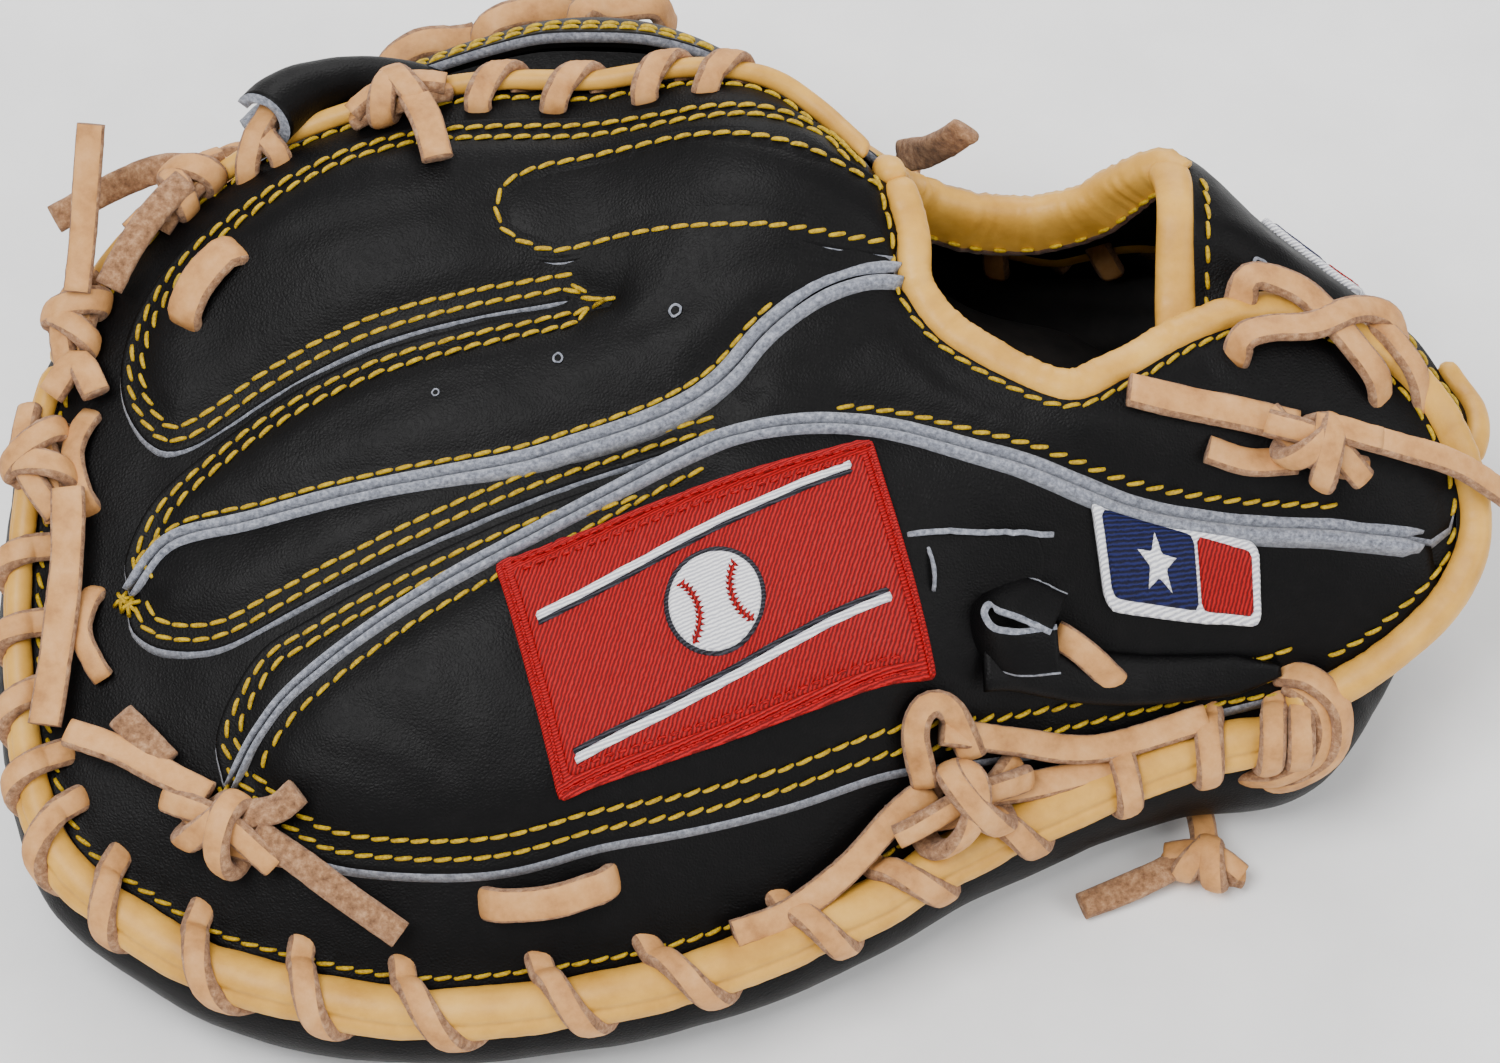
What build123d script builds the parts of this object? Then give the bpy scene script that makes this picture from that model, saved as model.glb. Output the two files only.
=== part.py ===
from build123d import *
import os

import numpy as np

# Baseball catcher's mitt, lying palm down on its rim.
# +Z is up, fingertips point to -X, the wrist opening faces +X, the little-finger side is at -Y
# and the thumb side is at +Y. The origin is on the resting plane, under the middle of the box.
# The back of the mitt is one smooth height field and the palm is another. Every leather, lining,
# pad and lace is a layer laid at a stated distance above or below one of them.

os.makedirs("parts", exist_ok=True)

# ---------------------------------------------------------------- driving dimensions, mm
RIB_PITCH = 8.0            # distance between the cross-sections that a layer is lofted through
RIB_POINTS = 9.0           # distance between the points of one cross-section
PATCH_PITCH = 4.0          # the same for the small patches, which lie close to the panels

GRID_START, GRID_END = -144.0, 150.0

PANEL = (-2.3, -0.3)       # leather panels of the back, measured from the back surface
BAND = (-5.0, -3.0)        # rim band, under the panels
BACK_LINING = (-7.4, -5.9)
THUMB_LINING = (-5.4, -3.9)     # no rim band lies under the thumb back, so its lining is closer
ON_TOP = (0.2, 2.2)        # what is sewn on the panels: finger pad, patches, welts
LACE = (0.4, 3.0)          # rawhide lace lying on the back
WHIP_LACE = (1.4, 3.6)     # lace where it passes over the roll
OVER_LACE = (4.0, 6.6)     # lace where it crosses another lace
PATCH = (0.6, 2.2)         # embroidered patches
THUMB_PATCH = (0.9, 2.2)
BINDING = (-4.5, 1.4)      # binding rolled over the edge of the wrist opening
STRAP_BINDING = (-3.2, 0.8)
ROLL = (-8.0, -0.2)        # padded roll around the rim
WEB_ROLL = (-4.5, 0.5)     # the thin roll along the web side

LACE_WIDTH = 5.6
ROLL_WIDTH = 8.0
WEB_ROLL_WIDTH = 4.0       # the roll is thinner along the web side
RIM_BAND_WIDTH = 20.0
SEAM_GAP = 0.5             # between the rim band and the roll
EDGE_GAP = 0.4             # between an edge and the roll or binding around it
BINDING_WIDTH = 6.0
WELT_WIDTH = 3.4
LACE_SLANT = 5.0           # how far a turn of the whip lace runs on while it crosses the roll
LACE_HOLE = 3.0            # the whip lace comes out this far inside the roll
LACE_PITCH = 22.0          # whip lace, one turn to the next

PALM_LEATHER = 3.0
PALM_PAD = 13.0            # leather, felt and lining together, at the pocket
HEEL_PAD = 10.0            # extra felt near the rim
PALM_LINING = 1.6
PALM_GLUE = 0.8            # between the leather, the felt and the lining
PALM_LIP = 2.0             # least height of the turned-up palm edge above the leather
ROLL_TO_PALM = 9.5         # the palm's top edge, below the back surface

# ---------------------------------------------------------------- outlines of the rim, mm
# Inner edge of the roll with its height, from the heel round the fingertips to the wrist opening.
FINGER_RIM = [
    (106, -46, 36), (84, -50, 34), (63, -58, 32), (38, -71, 31), (19, -83, 30), (-11, -97, 30),
    (-36, -103, 30), (-65, -105, 30), (-94, -99, 32), (-112, -90, 34), (-128, -78, 40),
    (-135, -54, 49), (-136, -26, 61), (-131, 5, 73), (-117, 29, 84), (-92, 42, 95),
    (-61, 48, 104), (-30, 47, 108), (5, 46, 109), (22, 31, 105),
]
NEAR_ROLL_POINTS = 14      # the thick roll ends after this many points of FINGER_RIM
THUMB_RIM = [
    (112, 46, 34), (100, 57, 34), (84, 66, 34), (62, 66, 30), (45, 71, 30), (30, 80, 30),
    (12, 93, 31), (-8, 105, 32), (-30, 111, 33), (-55, 107, 34), (-78, 97, 36), (-92, 83, 39),
    (-101, 72, 46), (-104, 63, 56),
]
THUMB_WEB_EDGE = [
    (-104, 63, 56), (-92, 62, 72), (-78, 62, 85), (-61, 62, 96), (-40, 62, 105), (-20, 61, 106),
    (0, 58, 99), (15, 52, 91),
]
THUMB_OPENING = [
    (30, 40, 88), (42, 41, 79), (54, 42, 76), (64, 42, 80), (72, 42, 88), (79, 41, 93),
]
BACK_CROWN = [
    (-30, -85, 51), (-30, -55, 70), (-30, -20, 87), (-30, 20, 101), (-85, -75, 55),
    (-95, -35, 71), (-100, 5, 84), (25, -58, 60), (25, -25, 82), (25, 0, 95),
    (60, -38, 62), (60, -16, 88), (84, -30, 66), (84, -5, 88), (84, 18, 94), (84, 54, 72),
    (110, -25, 67), (110, -5, 82), (110, 8, 86), (110, 24, 78), (110, 38, 58),
    (136, -35, 46), (136, -15, 64), (136, 2, 71), (136, 16, 62), (134, 32, 42),
    (5, 72, 76), (5, 84, 58), (-30, 80, 86), (-30, 97, 60), (-60, 78, 78), (-58, 94, 54),
    (-80, 76, 66), (30, 56, 68), (30, 68, 50), (54, 56, 56),
]
PALM_RIM = [
    (128, -14, 24), (121, -34, 18), (107, -51, 10), (85, -55, 9), (66, -62, 9), (41, -75, 9),
    (21, -88, 9), (-10, -102, 9), (-36, -108, 9), (-66, -110, 9), (-96, -104, 9),
    (-115, -94, 11), (-132, -81, 17), (-140, -55, 27), (-141, -26, 38), (-136, 7, 49),
    (-122, 33, 60), (128, 28, 22), (116, 50, 12), (103, 61, 10), (85, 71, 9), (62, 71, 9),
    (47, 75, 9), (33, 84, 9), (15, 97, 9), (-6, 109, 9), (-30, 115, 9), (-57, 111, 10),
    (-81, 101, 13), (-96, 86, 19), (-105, 74, 26), (-108, 64, 34),
]
PALM_FOOT = [
    (98, -40, 2), (82, -42, -2), (60, -50, -2), (34, -62, -2), (14, -75, -2), (-14, -88, -2),
    (-38, -94, -2), (-64, -96, -2), (-90, -91, -2), (-106, -82, 3), (-120, -71, 9),
    (-126, -51, 19), (-127, -25, 29), (-121, 4, 40), (-110, 24, 51),
    (94, 45, 2), (78, 53, -2), (62, 54, -2), (38, 60, -2), (20, 70, -2), (2, 83, -2), (-14, 93, -2),
    (-30, 97, -2), (-50, 93, 1), (-68, 85, 4), (-81, 74, 10), (-90, 64, 22),
]
PALM_POCKET = [
    (100, -15, 24), (60, -20, 28), (60, 0, 36), (20, -45, 27), (20, -10, 42), (-20, -60, 27),
    (-20, -25, 44), (-60, -65, 25), (-60, -30, 45), (-95, -55, 27), (-95, -20, 44),
    (-60, 10, 54), (-92, 12, 53), (-20, 8, 51), (20, 15, 47), (128, 8, 26), (100, 14, 31),
    (60, 21, 40), (20, 29, 48), (-20, 37, 54), (-60, 44, 57), (-100, 46, 54), (104, 32, 24),
    (62, 38, 28), (30, 48, 36), (0, 56, 43), (-30, 62, 48), (-60, 62, 47), (-84, 56, 44),
    (-30, 80, 28), (-60, 78, 24),
]

# Moves the finished pieces so that the origin is under the middle of the mitt.
ORIGIN_SHIFT = (1.9, -2.8, 0.5)

# Fold line of the palm, from the heel to the top of the web: the mitt closes about it.
FOLD_HEEL = (130.0, 8.0, 26.0)
FOLD_WEB = (-115.0, 54.0, 54.0)


# ---------------------------------------------------------------- surfaces
class HeightField:
    """Thin-plate surface through a few heights, each (x, y, z)."""

    def __init__(self, heights):
        heights = np.array(heights, float)
        self.knots = heights[:, :2] / 100.0
        count = len(heights)
        system = np.zeros((count + 3, count + 3))
        system[:count, :count] = self.bend(self.knots)
        system[:count, count] = 1.0
        system[:count, count + 1:] = self.knots
        system[count:, :count] = system[:count, count:].T
        self.weights = np.linalg.solve(system, np.append(heights[:, 2], [0.0, 0.0, 0.0]))

    def bend(self, points):
        distance = np.linalg.norm(points[:, None] - self.knots[None], axis=2)
        return distance ** 2 * np.log(np.maximum(distance, 1e-9))

    def __call__(self, x, y):
        points = np.array([[x, y]], float) / 100.0
        bent = self.bend(points) @ self.weights[:-3]
        return float((bent + self.weights[-3] + points @ self.weights[-2:])[0])


def soft_min(a, b, blend=2.0):
    """The lower of two heights, with the corner between them rounded."""
    return 0.5 * (a + b - ((a - b) ** 2 + blend ** 2) ** 0.5)


back = HeightField(FINGER_RIM + THUMB_RIM + THUMB_WEB_EDGE[1:] + THUMB_OPENING + BACK_CROWN)
pocket = HeightField(PALM_RIM + PALM_FOOT + PALM_POCKET)


def palm_outside(x, y):
    """Outer face of the palm leather, flat where the rim rests."""
    return -soft_min(-pocket(x, y), 0.0, blend=1.0)


def palm_inside(x, y):
    """Face of the palm lining that the hand touches."""
    near_rim = np.exp(-(((back(x, y) - 34.0) / 14.0) ** 2))
    padded = palm_outside(x, y) + PALM_PAD + HEEL_PAD * near_rim
    return soft_min(padded, back(x, y) - ROLL_TO_PALM)


def strap_height(x, y):
    """The wrist strap dives under the flap of the little-finger side."""
    rise = min(max((y - 10.0) / 16.0, 0.0), 1.0)
    return back(x, y) - 8.5 * (1.0 - rise * rise * (3.0 - 2.0 * rise))


def above(surface, level):
    """The surface raised by a fixed distance."""
    return lambda x, y: surface(x, y) + level


# ---------------------------------------------------------------- building blocks
def edge_at(edge, x):
    """The y of an edge at one x; an edge is a list of points with x rising."""
    return float(np.interp(x, [point[0] for point in edge], [point[1] for point in edge]))


def stations(start, end, pitch):
    """The shared grid between two ends, with the ends themselves."""
    grid = np.arange(GRID_START, GRID_END, pitch)
    inner = [place for place in grid if start + 0.3 * pitch < place < end - 0.3 * pitch]
    return [start] + inner + [end]


def rib_curve(x, y_from, y_to, height):
    """Points of one cross-section curve, on the shared grid."""
    places = stations(min(y_from, y_to), max(y_from, y_to), RIB_POINTS)
    if y_from > y_to:
        places.reverse()
    if len(places) == 2:
        places.insert(1, (y_from + y_to) / 2)
    return [(y, float(height(x, y))) for y in places]


def layer(low_edge, high_edge, low, high, wall=None, pitch=RIB_PITCH):
    """A leather layer lofted along X between two edges and two heights.

    wall = (side, thickness, top): that side turns up or down to the height top.
    """
    start = max(low_edge[0][0], high_edge[0][0])
    end = min(low_edge[-1][0], high_edge[-1][0])
    ribs = []
    for x in stations(start, end, pitch):
        y_low = edge_at(low_edge, x)
        y_high = edge_at(high_edge, x)
        with BuildSketch(Plane.YZ.offset(x)) as rib:
            with BuildLine():
                bottom = rib_curve(x, y_low, y_high, low)
                if wall is None:
                    top = rib_curve(x, y_high, y_low, high)
                    Spline(*bottom)
                    Line(bottom[-1], top[0])
                    Spline(*top)
                    Line(top[-1], bottom[0])
                elif wall[0] == "low":
                    top = rib_curve(x, y_high, y_low + wall[1], high)
                    lip = [(y_low + wall[1], wall[2](x, y_low)), (y_low, wall[2](x, y_low))]
                    Spline(*bottom)
                    Line(bottom[-1], top[0])
                    Spline(*top)
                    Polyline(top[-1], *lip, bottom[0])
                else:
                    top = rib_curve(x, y_high - wall[1], y_low, high)
                    lip = [(y_high, wall[2](x, y_high)), (y_high - wall[1], wall[2](x, y_high))]
                    Spline(*bottom)
                    Polyline(bottom[-1], *lip, top[0])
                    Spline(*top)
                    Line(top[-1], bottom[0])
            make_face()
        ribs.append(rib.sketch.face())
    loft(ribs, ruled=True)


def strip(path, near, far, low, high, surface):
    """A band that runs beside a path, between two sideways distances and two levels."""
    line = np.array([point[:2] for point in path], float)
    along = np.gradient(line, axis=0)
    along /= np.linalg.norm(along, axis=1)[:, None]
    ribs = []
    for (x, y), (run_x, run_y) in zip(line, along):
        out_x, out_y = -run_y, run_x
        corners = []
        across = np.linspace(near, far, max(2, int(abs(far - near) / 4.0) + 1))
        for level, distances in ((low, across), (high, across[::-1])):
            for distance in distances:
                corners.append((distance, surface(x + distance * out_x, y + distance * out_y) + level))
        with BuildSketch(Plane(origin=(x, y, 0), x_dir=(out_x, out_y, 0), z_dir=(run_x, run_y, 0))) as rib:
            with BuildLine():
                Polyline(*corners, close=True)
            make_face()
        ribs.append(rib.sketch.face())
    loft(ribs, ruled=True)


def finer(points, step=8.0):
    """The same line with more points, for a band that has to follow the surface closely."""
    line = np.array([point[:2] for point in points], float)
    length = np.append([0.0], np.cumsum(np.linalg.norm(np.diff(line, axis=0), axis=1)))
    count = max(2, int(round(length[-1] / step)) + 1)
    places = np.linspace(0.0, length[-1], count)
    return list(zip(np.interp(places, length, line[:, 0]), np.interp(places, length, line[:, 1])))


def lace_on(points, levels=LACE, width=LACE_WIDTH, surface=back):
    """A flat lace lying on a surface."""
    strip(finer(points), -width / 2, width / 2, *levels, surface)


def knot_on(x, y, length, width, tall, turn=0.0, lift=0.6):
    """A pulled-tight knot, a rounded block that sits on the back."""
    slope_x = (back(x + 4, y) - back(x - 4, y)) / 8
    slope_y = (back(x, y + 4) - back(x, y - 4)) / 8
    normal = Vector(-slope_x, -slope_y, 1).normalized()
    heading = Vector(np.cos(np.radians(turn)), np.sin(np.radians(turn)), 0)
    across = normal.cross(heading).normalized()
    seat = Vector(x, y, back(x, y)) + normal * (lift + tall / 2)
    with BuildPart(Plane(origin=seat, x_dir=across.cross(normal), z_dir=normal), mode=Mode.PRIVATE) as block:
        Box(length, width, tall)
        fillet(block.edges(), radius=0.3 * min(length, width, tall))
    add(block.part)


def ribbon(points, width, thickness):
    """A flat strap along a line in space; its flat side faces up."""
    line = np.array(points, float)
    along = np.gradient(line, axis=0)
    ribs = []
    for place, heading in zip(line, along):
        run = Vector(*heading).normalized()
        across = Vector(0, 0, 1).cross(run).normalized()
        with BuildSketch(Plane(origin=tuple(place), x_dir=across, z_dir=run)) as rib:
            Rectangle(width, thickness)
        ribs.append(rib.sketch.face())
    loft(ribs, ruled=True)


def save(piece, name):
    """Put a finished piece in the mitt's own frame, label it and write it."""
    placed = piece.part.moved(Location(ORIGIN_SHIFT))
    placed.label = name
    export_step(placed, f"parts/{name}.step")


# ---------------------------------------------------------------- palm, finger side
FINGER_PALM_RIM = [
    (-140.5, -46), (-139.5, -55), (-132, -80.5), (-115, -94), (-96, -103.5), (-66, -109.5),
    (-36, -107.5), (-10, -101.5), (21, -87.5), (41, -75), (66, -62), (85, -55), (107, -51),
    (121, -34), (127, -20),
]
FINGER_PALM_FOLD = [
    (-140.5, -30), (-140, -20), (-135, 7), (-122, 31), (-110, 35), (-70, 33), (-30, 30),
    (0, 28), (10, 28.8), (127, 6.8),
]
THUMB_PALM_FOLD = [(-107, 60), (-90, 58.5), (-60, 56), (-30, 50), (0, 42), (10, 36), (40, 26.6), (127, 10.4)]
THUMB_PALM_RIM = [
    (-107, 68), (-105, 74), (-96, 86), (-81, 101), (-57, 111), (-30, 115.5), (-6, 109.5),
    (15, 97), (33, 84), (47, 75), (62, 71), (85, 71), (103, 61), (116, 50), (127, 36),
]


def inset(edge, distance, end_gap=0.0):
    """An edge table moved along Y, with its ends pulled in along X."""
    first, last = edge[0][0] + end_gap, edge[-1][0] - end_gap
    inner = [(x, y + distance) for x, y in edge if first < x < last]
    return [(first, edge_at(edge, first) + distance)] + inner + [(last, edge_at(edge, last) + distance)]


leather_top = above(palm_outside, PALM_LEATHER)
pad_bottom = above(palm_outside, PALM_LEATHER + PALM_GLUE)
pad_top = above(palm_inside, -PALM_LINING - PALM_GLUE)
lining_bottom = above(palm_inside, -PALM_LINING)


def palm_lip(x, y):
    """Top of the leather where it turns up around the rim."""
    return max(palm_inside(x, y), palm_outside(x, y) + PALM_LEATHER + PALM_LIP)


def thumb_roll_height(x, y):
    """The back surface, held up so that the roll rests on the lip of the palm."""
    return max(back(x, y), palm_lip(x, y) - ROLL[0] + EDGE_GAP)



with BuildPart() as palm_leather_finger_side:
    layer(FINGER_PALM_RIM, FINGER_PALM_FOLD, palm_outside, leather_top, wall=("low", PALM_LEATHER, palm_lip))
save(palm_leather_finger_side, "palm_leather_finger_side")

with BuildPart() as palm_pad_finger_side:
    layer(inset(FINGER_PALM_RIM, 6, 4), inset(FINGER_PALM_FOLD, -0.5, 4), pad_bottom, pad_top)
save(palm_pad_finger_side, "palm_pad_finger_side")

with BuildPart() as palm_lining_finger_side:
    layer(inset(FINGER_PALM_RIM, 6, 4), inset(FINGER_PALM_FOLD, -0.5, 4), lining_bottom, palm_inside)
save(palm_lining_finger_side, "palm_lining_finger_side")

# ---------------------------------------------------------------- back, finger side
INDEX_LOW = [
    (-119, -36), (-109, -31), (-93, -30), (-75, -28), (-47, -25), (-33, -22), (-17, -17.5),
    (-6, -12), (3, -3), (12, 3.5), (24, 8),
]
INDEX_HIGH = [
    (-119, 4), (-117, 12), (-109, 22), (-91, 32), (-70, 39), (-48, 40.5), (-12, 39.5), (14, 38), (24, 29),
]
RING_HIGH = [
    (-117, -43), (-109, -32.7), (-93, -31.7), (-75, -29.7), (-47, -26.7), (-33, -23.7),
    (-17, -19.2), (-6, -13.8), (3, -5), (12, 2), (24, 6), (31, 1), (39, -6), (58, -15),
    (71, -10), (85, -1), (102, 4), (121, -2), (130, -12), (133, -18),
]
RING_LOW = [
    (-117, -46), (-111, -50), (-100, -53), (-98, -66), (-90, -64.5), (-81, -58), (-60, -46),
    (-25, -29.5), (-2, -20), (22, -17), (45, -21.5), (73, -26.5), (109, -26), (128, -25), (133, -23),
]
LITTLE_HIGH = [
    (-96, -73), (-92, -67.5), (-83, -60.5), (-60, -47.5), (-25, -31), (-2, -21.5), (22, -18.5),
    (45, -23), (73, -28), (109, -27.5), (126, -26.5), (130, -28),
]
LITTLE_LOW = [
    (-96, -78), (-87, -84), (-74, -89), (-47, -90), (-21, -84.5), (6, -76), (31, -66),
    (63, -54), (84, -46), (106, -42), (122, -37), (130, -31),
]
PAD_HIGH = [(-50, 24), (-47, 28), (-36, 32), (-15, 33), (6, 30.5), (23, 26.5)]
PAD_LOW = [(-50, 18), (-46, 14), (-38, 11.5), (-23, 12.5), (0, 11), (23, 11.5)]
LINING_LOW = [
    (-126, -50), (-118, -72), (-105, -84), (-91, -91), (-65, -97), (-38, -95), (-12, -89),
    (17, -75), (36, -64), (60, -51), (84, -43), (104, -38), (120, -32),
]
LINING_HIGH = [
    (-126, -14), (-123, 3), (-111, 24), (-89, 34), (-60, 40), (-30, 40), (3, 38), (18, 28),
    (24, 12), (36, -9), (57, -19), (72, -14), (90, -12), (120, -20),
]
UPPER_WELT = [
    (-116, -37.5), (-109, -31.8), (-93, -30.8), (-75, -28.8), (-47, -25.8), (-33, -22.8),
    (-17, -18.3), (-6, -12.9), (3, -4), (12, 2.8), (21, 6.8),
]
LOWER_WELT = [
    (-90, -66), (-83, -60.2), (-60, -46.8), (-25, -30.2), (-2, -20.8), (22, -17.8), (45, -22.2),
    (73, -27.2), (109, -26.7), (127, -25.8),
]
OPENING_EDGE = [
    (25.5, 27), (28, 16), (29.5, 6), (39, -4), (58, -13), (71, -8), (85, 1), (102, 6), (121, 0.5),
    (132, -10), (135.5, -21), (131, -31), (120, -39), (109, -43.5),
]

with BuildPart() as rim_band:
    strip(finer(FINGER_RIM), -RIM_BAND_WIDTH, -SEAM_GAP, *BAND, back)
save(rim_band, "rim_band")

with BuildPart() as index_middle_back:
    layer(INDEX_LOW, INDEX_HIGH, above(back, PANEL[0]), above(back, PANEL[1]))
save(index_middle_back, "index_middle_back")

with BuildPart() as middle_ring_back:
    layer(RING_LOW, RING_HIGH, above(back, PANEL[0]), above(back, PANEL[1]))
save(middle_ring_back, "middle_ring_back")

with BuildPart() as little_finger_back:
    layer(LITTLE_LOW, LITTLE_HIGH, above(back, PANEL[0]), above(back, PANEL[1]))
save(little_finger_back, "little_finger_back")

with BuildPart() as index_finger_pad:
    layer(PAD_LOW, PAD_HIGH, above(back, ON_TOP[0]), above(back, ON_TOP[1]))
save(index_finger_pad, "index_finger_pad")

with BuildPart() as back_lining_finger_side:
    layer(LINING_LOW, LINING_HIGH, above(back, BACK_LINING[0]), above(back, BACK_LINING[1]))
save(back_lining_finger_side, "back_lining_finger_side")

with BuildPart() as upper_welt:
    strip(finer(UPPER_WELT), -WELT_WIDTH / 2, WELT_WIDTH / 2, *ON_TOP, back)
save(upper_welt, "upper_welt")

with BuildPart() as lower_welt:
    strip(finer(LOWER_WELT), -WELT_WIDTH / 2, WELT_WIDTH / 2, *ON_TOP, back)
save(lower_welt, "lower_welt")

with BuildPart() as wrist_binding_finger_side:
    strip(finer(OPENING_EDGE), EDGE_GAP, EDGE_GAP + BINDING_WIDTH, *BINDING, back)
save(wrist_binding_finger_side, "wrist_binding_finger_side")

with BuildPart() as rim_roll_finger_side:
    strip(finer(FINGER_RIM[:NEAR_ROLL_POINTS]), EDGE_GAP, EDGE_GAP + ROLL_WIDTH, *ROLL, back)
save(rim_roll_finger_side, "rim_roll_finger_side")

with BuildPart() as web_side_roll:
    strip(finer(FINGER_RIM[NEAR_ROLL_POINTS:]), EDGE_GAP, EDGE_GAP + WEB_ROLL_WIDTH, *WEB_ROLL, back)
save(web_side_roll, "web_side_roll")

# ---------------------------------------------------------------- patches and pull strap
LABEL_LOW = [(-46, -46), (-36, -80.5), (33, -55)]
LABEL_HIGH = [(-46, -42.5), (22, -20), (33, -51)]
WRIST_PATCH_LOW = [(63.5, -35), (68, -39), (89, -36.5), (95, -37)]
WRIST_PATCH_HIGH = [(63.5, -30), (77, -30.2), (86, -30.5), (95, -31.5)]

with BuildPart() as label_patch:
    layer(LABEL_LOW, LABEL_HIGH, above(back, PATCH[0]), above(back, PATCH[1]), pitch=PATCH_PITCH)
save(label_patch, "label_patch")

with BuildPart() as wrist_patch:
    layer(WRIST_PATCH_LOW, WRIST_PATCH_HIGH, above(back, PATCH[0]), above(back, PATCH[1]), pitch=PATCH_PITCH)
save(wrist_patch, "wrist_patch")

with BuildPart() as pull_strap:
    lace_on([(44, -47.5), (60, -46.0), (76, -43.5), (89, -40.5)], width=7.5)
save(pull_strap, "pull_strap")


# ---------------------------------------------------------------- palm, thumb side
with BuildPart() as palm_leather_thumb_side:
    layer(THUMB_PALM_FOLD, THUMB_PALM_RIM, palm_outside, leather_top, wall=("high", PALM_LEATHER, palm_lip))
save(palm_leather_thumb_side, "palm_leather_thumb_side")

with BuildPart() as palm_pad_thumb_side:
    layer(inset(THUMB_PALM_FOLD, 0.5, 4), inset(THUMB_PALM_RIM, -6, 4), pad_bottom, pad_top)
save(palm_pad_thumb_side, "palm_pad_thumb_side")

with BuildPart() as palm_lining_thumb_side:
    layer(inset(THUMB_PALM_FOLD, 0.5, 4), inset(THUMB_PALM_RIM, -6, 4), lining_bottom, palm_inside)
save(palm_lining_thumb_side, "palm_lining_thumb_side")

# ---------------------------------------------------------------- back, thumb side
THUMB_BACK_LOW = [
    (-103, 63), (-92, 62.5), (-61, 62.5), (-40, 62.5), (-20, 61.5), (0, 58.5), (15, 52.5), (30, 43),
    (42, 43), (72, 43), (84, 44.5), (100, 42), (112, 35), (119, 29),
]
THUMB_BACK_HIGH = [
    (-103, 66), (-101, 71), (-92, 82), (-78, 96), (-55, 106), (-30, 110), (-8, 104), (12, 92),
    (30, 79), (45, 70), (62, 65), (84, 65), (100, 56), (112, 45), (119, 38),
]
THUMB_LINING_LOW = [
    (-98, 65.5), (-61, 66), (-20, 65), (0, 62), (15, 57), (30, 48), (42, 47), (72, 47), (98, 46),
]
THUMB_LINING_HIGH = [
    (-98, 70), (-92, 75), (-78, 89), (-55, 99), (-30, 103), (-8, 97), (12, 85), (30, 72),
    (45, 63), (62, 58), (84, 58), (98, 51),
]
STRAP_LOW = [(84, 4), (104, 3.5), (126, -1), (136, -5)]
STRAP_HIGH = [(84, 41), (100, 39), (112, 32), (124, 24), (132, 16), (136, 10)]
THUMB_PATCH_LOW = [(100, 44), (106, 41), (116, 34)]
THUMB_PATCH_HIGH = [(100, 47), (106, 47), (116, 39)]
STRAP_EDGE = [(83, 3.5), (82.5, 12), (82.5, 24), (82.5, 34), (82, 39.5)]
FAR_OPENING = [(29, 40), (42, 40.5), (54, 41), (64, 41), (70, 41), (75.5, 41)]
STRAP_END = [(137, -6), (138.5, 0), (138, 8), (134, 16)]

with BuildPart() as thumb_back:
    layer(THUMB_BACK_LOW, THUMB_BACK_HIGH, above(back, PANEL[0]), above(back, PANEL[1]))
save(thumb_back, "thumb_back")

with BuildPart() as back_lining_thumb_side:
    layer(THUMB_LINING_LOW, THUMB_LINING_HIGH, above(back, THUMB_LINING[0]), above(back, THUMB_LINING[1]))
save(back_lining_thumb_side, "back_lining_thumb_side")

with BuildPart() as wrist_strap:
    layer(STRAP_LOW, STRAP_HIGH, above(strap_height, PANEL[0]), above(strap_height, PANEL[1]))
save(wrist_strap, "wrist_strap")

with BuildPart() as wrist_strap_binding:
    strip(finer(STRAP_EDGE), EDGE_GAP, 5.0, *STRAP_BINDING, strap_height)
save(wrist_strap_binding, "wrist_strap_binding")

with BuildPart() as wrist_strap_end_binding:
    strip(finer(STRAP_END, 6.0), -4.0, -0.2, *STRAP_BINDING, strap_height)
save(wrist_strap_end_binding, "wrist_strap_end_binding")

with BuildPart() as thumb_opening_binding:
    strip(finer(FAR_OPENING), -4.4, 0.6, -6.0, 1.0, back)
save(thumb_opening_binding, "thumb_opening_binding")

with BuildPart() as thumb_patch:
    bottom, top = above(back, THUMB_PATCH[0]), above(back, THUMB_PATCH[1])
    layer(THUMB_PATCH_LOW, THUMB_PATCH_HIGH, bottom, top, pitch=PATCH_PITCH)
save(thumb_patch, "thumb_patch")

with BuildPart() as rim_roll_thumb_side:
    strip(finer(THUMB_RIM), -EDGE_GAP - ROLL_WIDTH, -EDGE_GAP, *ROLL, thumb_roll_height)
save(rim_roll_thumb_side, "rim_roll_thumb_side")


# ---------------------------------------------------------------- rawhide lace
def whip_lace(rim, side, first, last, pitch=LACE_PITCH, far=ROLL_WIDTH + 1.6, surface=back):
    """Bands of the lace that whips over the roll; side is 1 when the outside is to the left."""
    line = np.array([point[:2] for point in rim], float)
    length = np.append([0.0], np.cumsum(np.linalg.norm(np.diff(line, axis=0), axis=1)))
    place = first
    while place < min(last, length[-1]):
        ahead = place + LACE_SLANT
        starts = np.array([np.interp(place, length, line[:, axis]) for axis in (0, 1)])
        ends = np.array([np.interp(min(ahead, length[-1]), length, line[:, axis]) for axis in (0, 1)])
        index = min(int(np.searchsorted(length, place)), len(line) - 1)
        along = line[index] - line[index - 1]
        along /= np.linalg.norm(along)
        out = side * np.array([-along[1], along[0]])
        lace_on([tuple(starts - LACE_HOLE * out), tuple(ends + far * out)], levels=WHIP_LACE, surface=surface)
        place += pitch


with BuildPart() as rim_lace_finger_side:
    whip_lace(FINGER_RIM[:NEAR_ROLL_POINTS], 1, 12.0, 395.0)
save(rim_lace_finger_side, "rim_lace_finger_side")

with BuildPart() as web_side_lace:
    whip_lace(FINGER_RIM[NEAR_ROLL_POINTS:], 1, 40.0, 150.0, pitch=18.0, far=WEB_ROLL_WIDTH + 1.0)
save(web_side_lace, "web_side_lace")

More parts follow.
